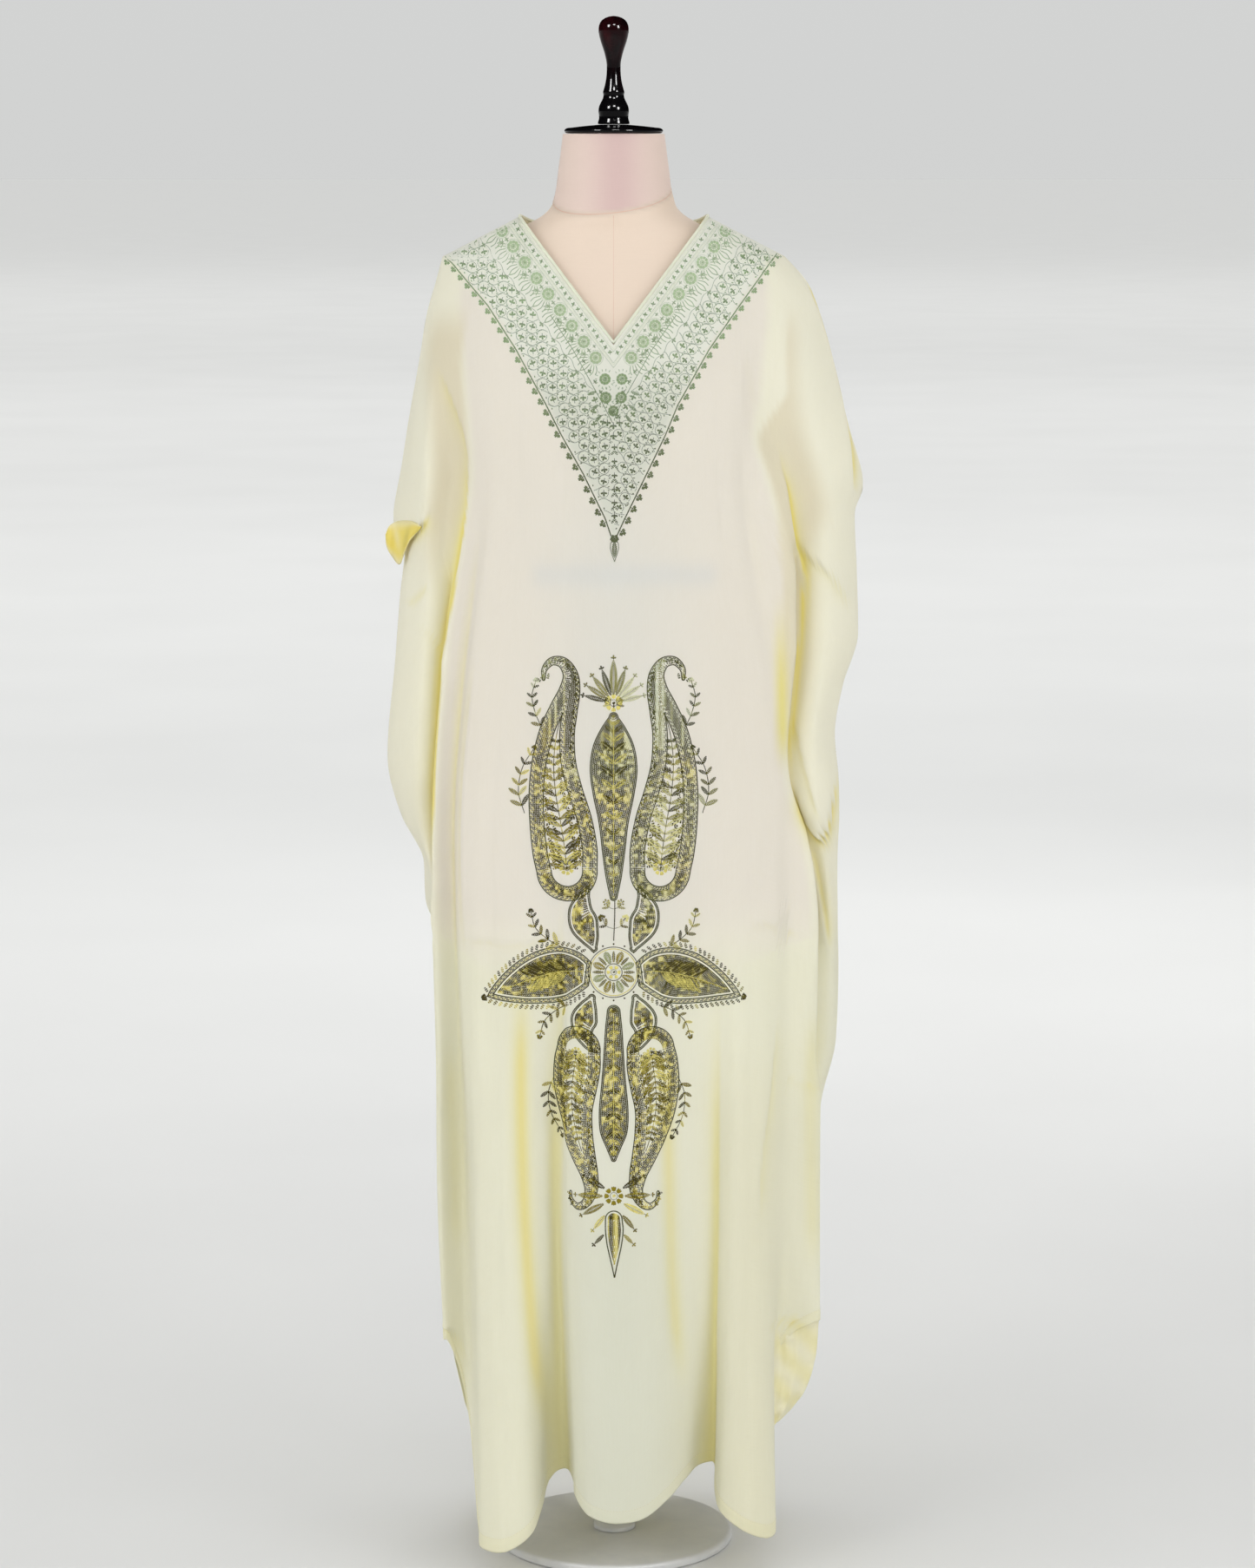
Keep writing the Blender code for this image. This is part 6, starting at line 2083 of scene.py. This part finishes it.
panel_f, at_f, down_f, points_f, normals_f, front = cloth_panel(
    "front_cloth",
    "front_panel",
    -1,
    (2, 5, 4, 10, 12, 8),
    5,
    ((0.034, 0.30, 78), (0.30, 0.47, 36), (0.47, 0.56, 26), (0.56, 0.984, 74)),
)
panel_b, at_b, down_b, points_b, normals_b, back = cloth_panel(
    "back_cloth",
    "back_panel",
    1,
    (2, 4, 4, 4, 4, 6),
    8,
    ((0.034, 0.30, 50), (0.30, 0.56, 40), (0.56, 0.984, 56)),
)

sleeve_roll(points_f)
corner_cloth(points_f, points_b)
yoke_stitches(lay_from_front(points_f))
skirt_stitches(lay_along_cloth(points_f, int(np.argmin(abs(at_f - panel_f.middle)))))
seam_stitches("hem_stitches", hem_lines(panel_f, at_f, down_f, points_f, normals_f))
seam_stitches("back_hem_stitches", hem_lines(panel_b, at_b, down_b, points_b, normals_b))
neck_cord()
form_cover()
form_seams()
turned("neck_cap", CAP, 128, LACQUER, "lacquer", "form_neck_cap")
turned("knob", KNOB, 72, LACQUER, "lacquer", "form_knob")
turned(
    "pole",
    f"""
z r
{BASE_H + 0.3} 0
{BASE_H + 0.3} 21
{BASE_H + 0.8} 22
{BASE_H + 4.4} 22
{BASE_H + 5.4} 21
{BASE_H + 7} {POLE_R + 1.5}
{BASE_H + 9} {POLE_R}
{668 - 24} {POLE_R}
{668 - 22} {POLE_R + 2}
{668 - 20.5} 25
{668 - 19.5} 26
{668 - 1} 26
{668 - 0.5} 25.4
{668 - 0.4} 0
""",
    64,
    PAINT,
    "stand_paint",
    "stand_pole",
)
turned(
    "base",
    f"""
z r
0 0
0 {BASE_R - 1.5}
0.5 {BASE_R - 0.4}
1.5 {BASE_R}
{BASE_H - 3.5} {BASE_R}
{BASE_H - 1.8} {BASE_R - 0.8}
{BASE_H - 0.6} {BASE_R - 2.4}
{BASE_H} {BASE_R - 5}
{BASE_H} 0
""",
    128,
    PAINT,
    "stand_paint",
    "stand_base",
)

CUTS = {"front_cloth": (0.86, 1.40, 0.80), "back_cloth": (0.86, 1.40, 0.80)}
for ob in (front, back):
    wide, long, area = CUTS[ob.name]

# ---- floor, light and camera ----------------------------------------------------------------
ring = 2 * math.pi * np.arange(96) / 96
disc = np.concatenate([[[0, 0, 0]], np.stack([np.cos(ring), np.sin(ring), 0 * ring], axis=1) * 300000])
k = np.arange(96)
floor_mesh = mesh_of("floor", disc, np.stack([0 * k, 1 + k, 1 + (k + 1) % 96], axis=1), smooth_shade=False)
floor_mesh.materials.append(floor_look())
floor = bpy.data.objects.new("floor", floor_mesh)
bpy.context.scene.collection.objects.link(floor)
floor.location.z = -0.0006


def lamp(name, place, aim, size, power, colour=(1, 1, 1)):
    data = bpy.data.lights.new(name, "AREA")
    data.shape = "RECTANGLE"
    data.size, data.size_y = size
    data.energy = power
    data.color = colour
    ob = bpy.data.objects.new(name, data)
    bpy.context.scene.collection.objects.link(ob)
    ob.location = place
    ob.rotation_euler = (Vector(aim) - Vector(place)).to_track_quat("-Z", "Y").to_euler()
    return ob


lamp("key", (-2.9, -3.0, 2.0), (0, 0, 0.85), (1.6, 2.2), 33)
lamp("fill", (3.1, -2.6, 1.9), (0, 0, 0.85), (1.6, 2.2), 25)
lamp("front", (0.2, -4.7, 2.0), (0, 0, 0.7), (1.8, 1.4), 31.5)
lamp("back", (0.8, 3.4, 2.8), (0, 0, 0.9), (2.4, 1.6), 26)
lamp("low", (2.9, -1.5, 0.8), (0.2, 0, 0.6), (1.4, 1.2), 8)
lamp("left", (-3.1, -0.9, 1.6), (-0.2, 0, 1.05), (1.2, 1.4), 8)
lamp("ground", (0, 8.5, 4.6), (0, 7.5, 0), (12.0, 8.0), 98)
lamp("ground_far", (0, 18.0, 6.5), (0, 17.0, 0), (22.0, 9.0), 170)
lamp("ground_end", (0, 36.0, 14.0), (0, 36.5, 0), (40.0, 20.0), 430)
# the wide soft lamps give no highlights; three panels are mirrored in what is polished
for ob in bpy.data.objects:
    if ob.type == "LIGHT":
        ob.visible_glossy = False
for name, place, size, power in (
    ("spark_a", (-1.9, -2.2, 2.9), (0.8, 0.9), 150),
    ("spark_b", (1.8, -2.3, 2.5), (0.7, 0.9), 135),
    ("spark_c", (0.25, -2.9, 3.6), (0.9, 0.5), 105),
):
    spark = lamp(name, place, (0, 0, 1.5), size, power)
    spark.visible_diffuse = False
    spark.visible_transmission = False

world = bpy.data.worlds.new("studio")
bpy.context.scene.world = world
world.use_nodes = True
sky = world.node_tree.nodes
way_up = sky.new("ShaderNodeTexCoord")
split = sky.new("ShaderNodeSeparateXYZ")
lift = sky.new("ShaderNodeMapRange")
for socket, number in zip(("From Min", "From Max", "To Min", "To Max"), (0.0, 0.5, 0.66, 0.74)):
    lift.inputs[socket].default_value = number
world.node_tree.links.new(way_up.outputs["Generated"], split.inputs[0])
world.node_tree.links.new(split.outputs["Z"], lift.inputs["Value"])
world.node_tree.links.new(lift.outputs["Result"], sky["Background"].inputs["Strength"])
world.cycles_visibility.glossy = False
sky["Background"].inputs["Color"].default_value = (*srgb(252, 253, 252), 1.0)

camera_data = bpy.data.cameras.new("camera")
camera_data.lens = 94.099
camera_data.sensor_width = 36.0
camera = bpy.data.objects.new("camera", camera_data)
bpy.context.scene.collection.objects.link(camera)
camera.location = (0.01395, -4.2, 1.45)
camera.rotation_euler = (Vector((0.01395, 0, 0.80943)) - camera.location).to_track_quat("-Z", "Y").to_euler()
bpy.context.scene.camera = camera
bpy.context.scene.view_settings.view_transform = "Standard"
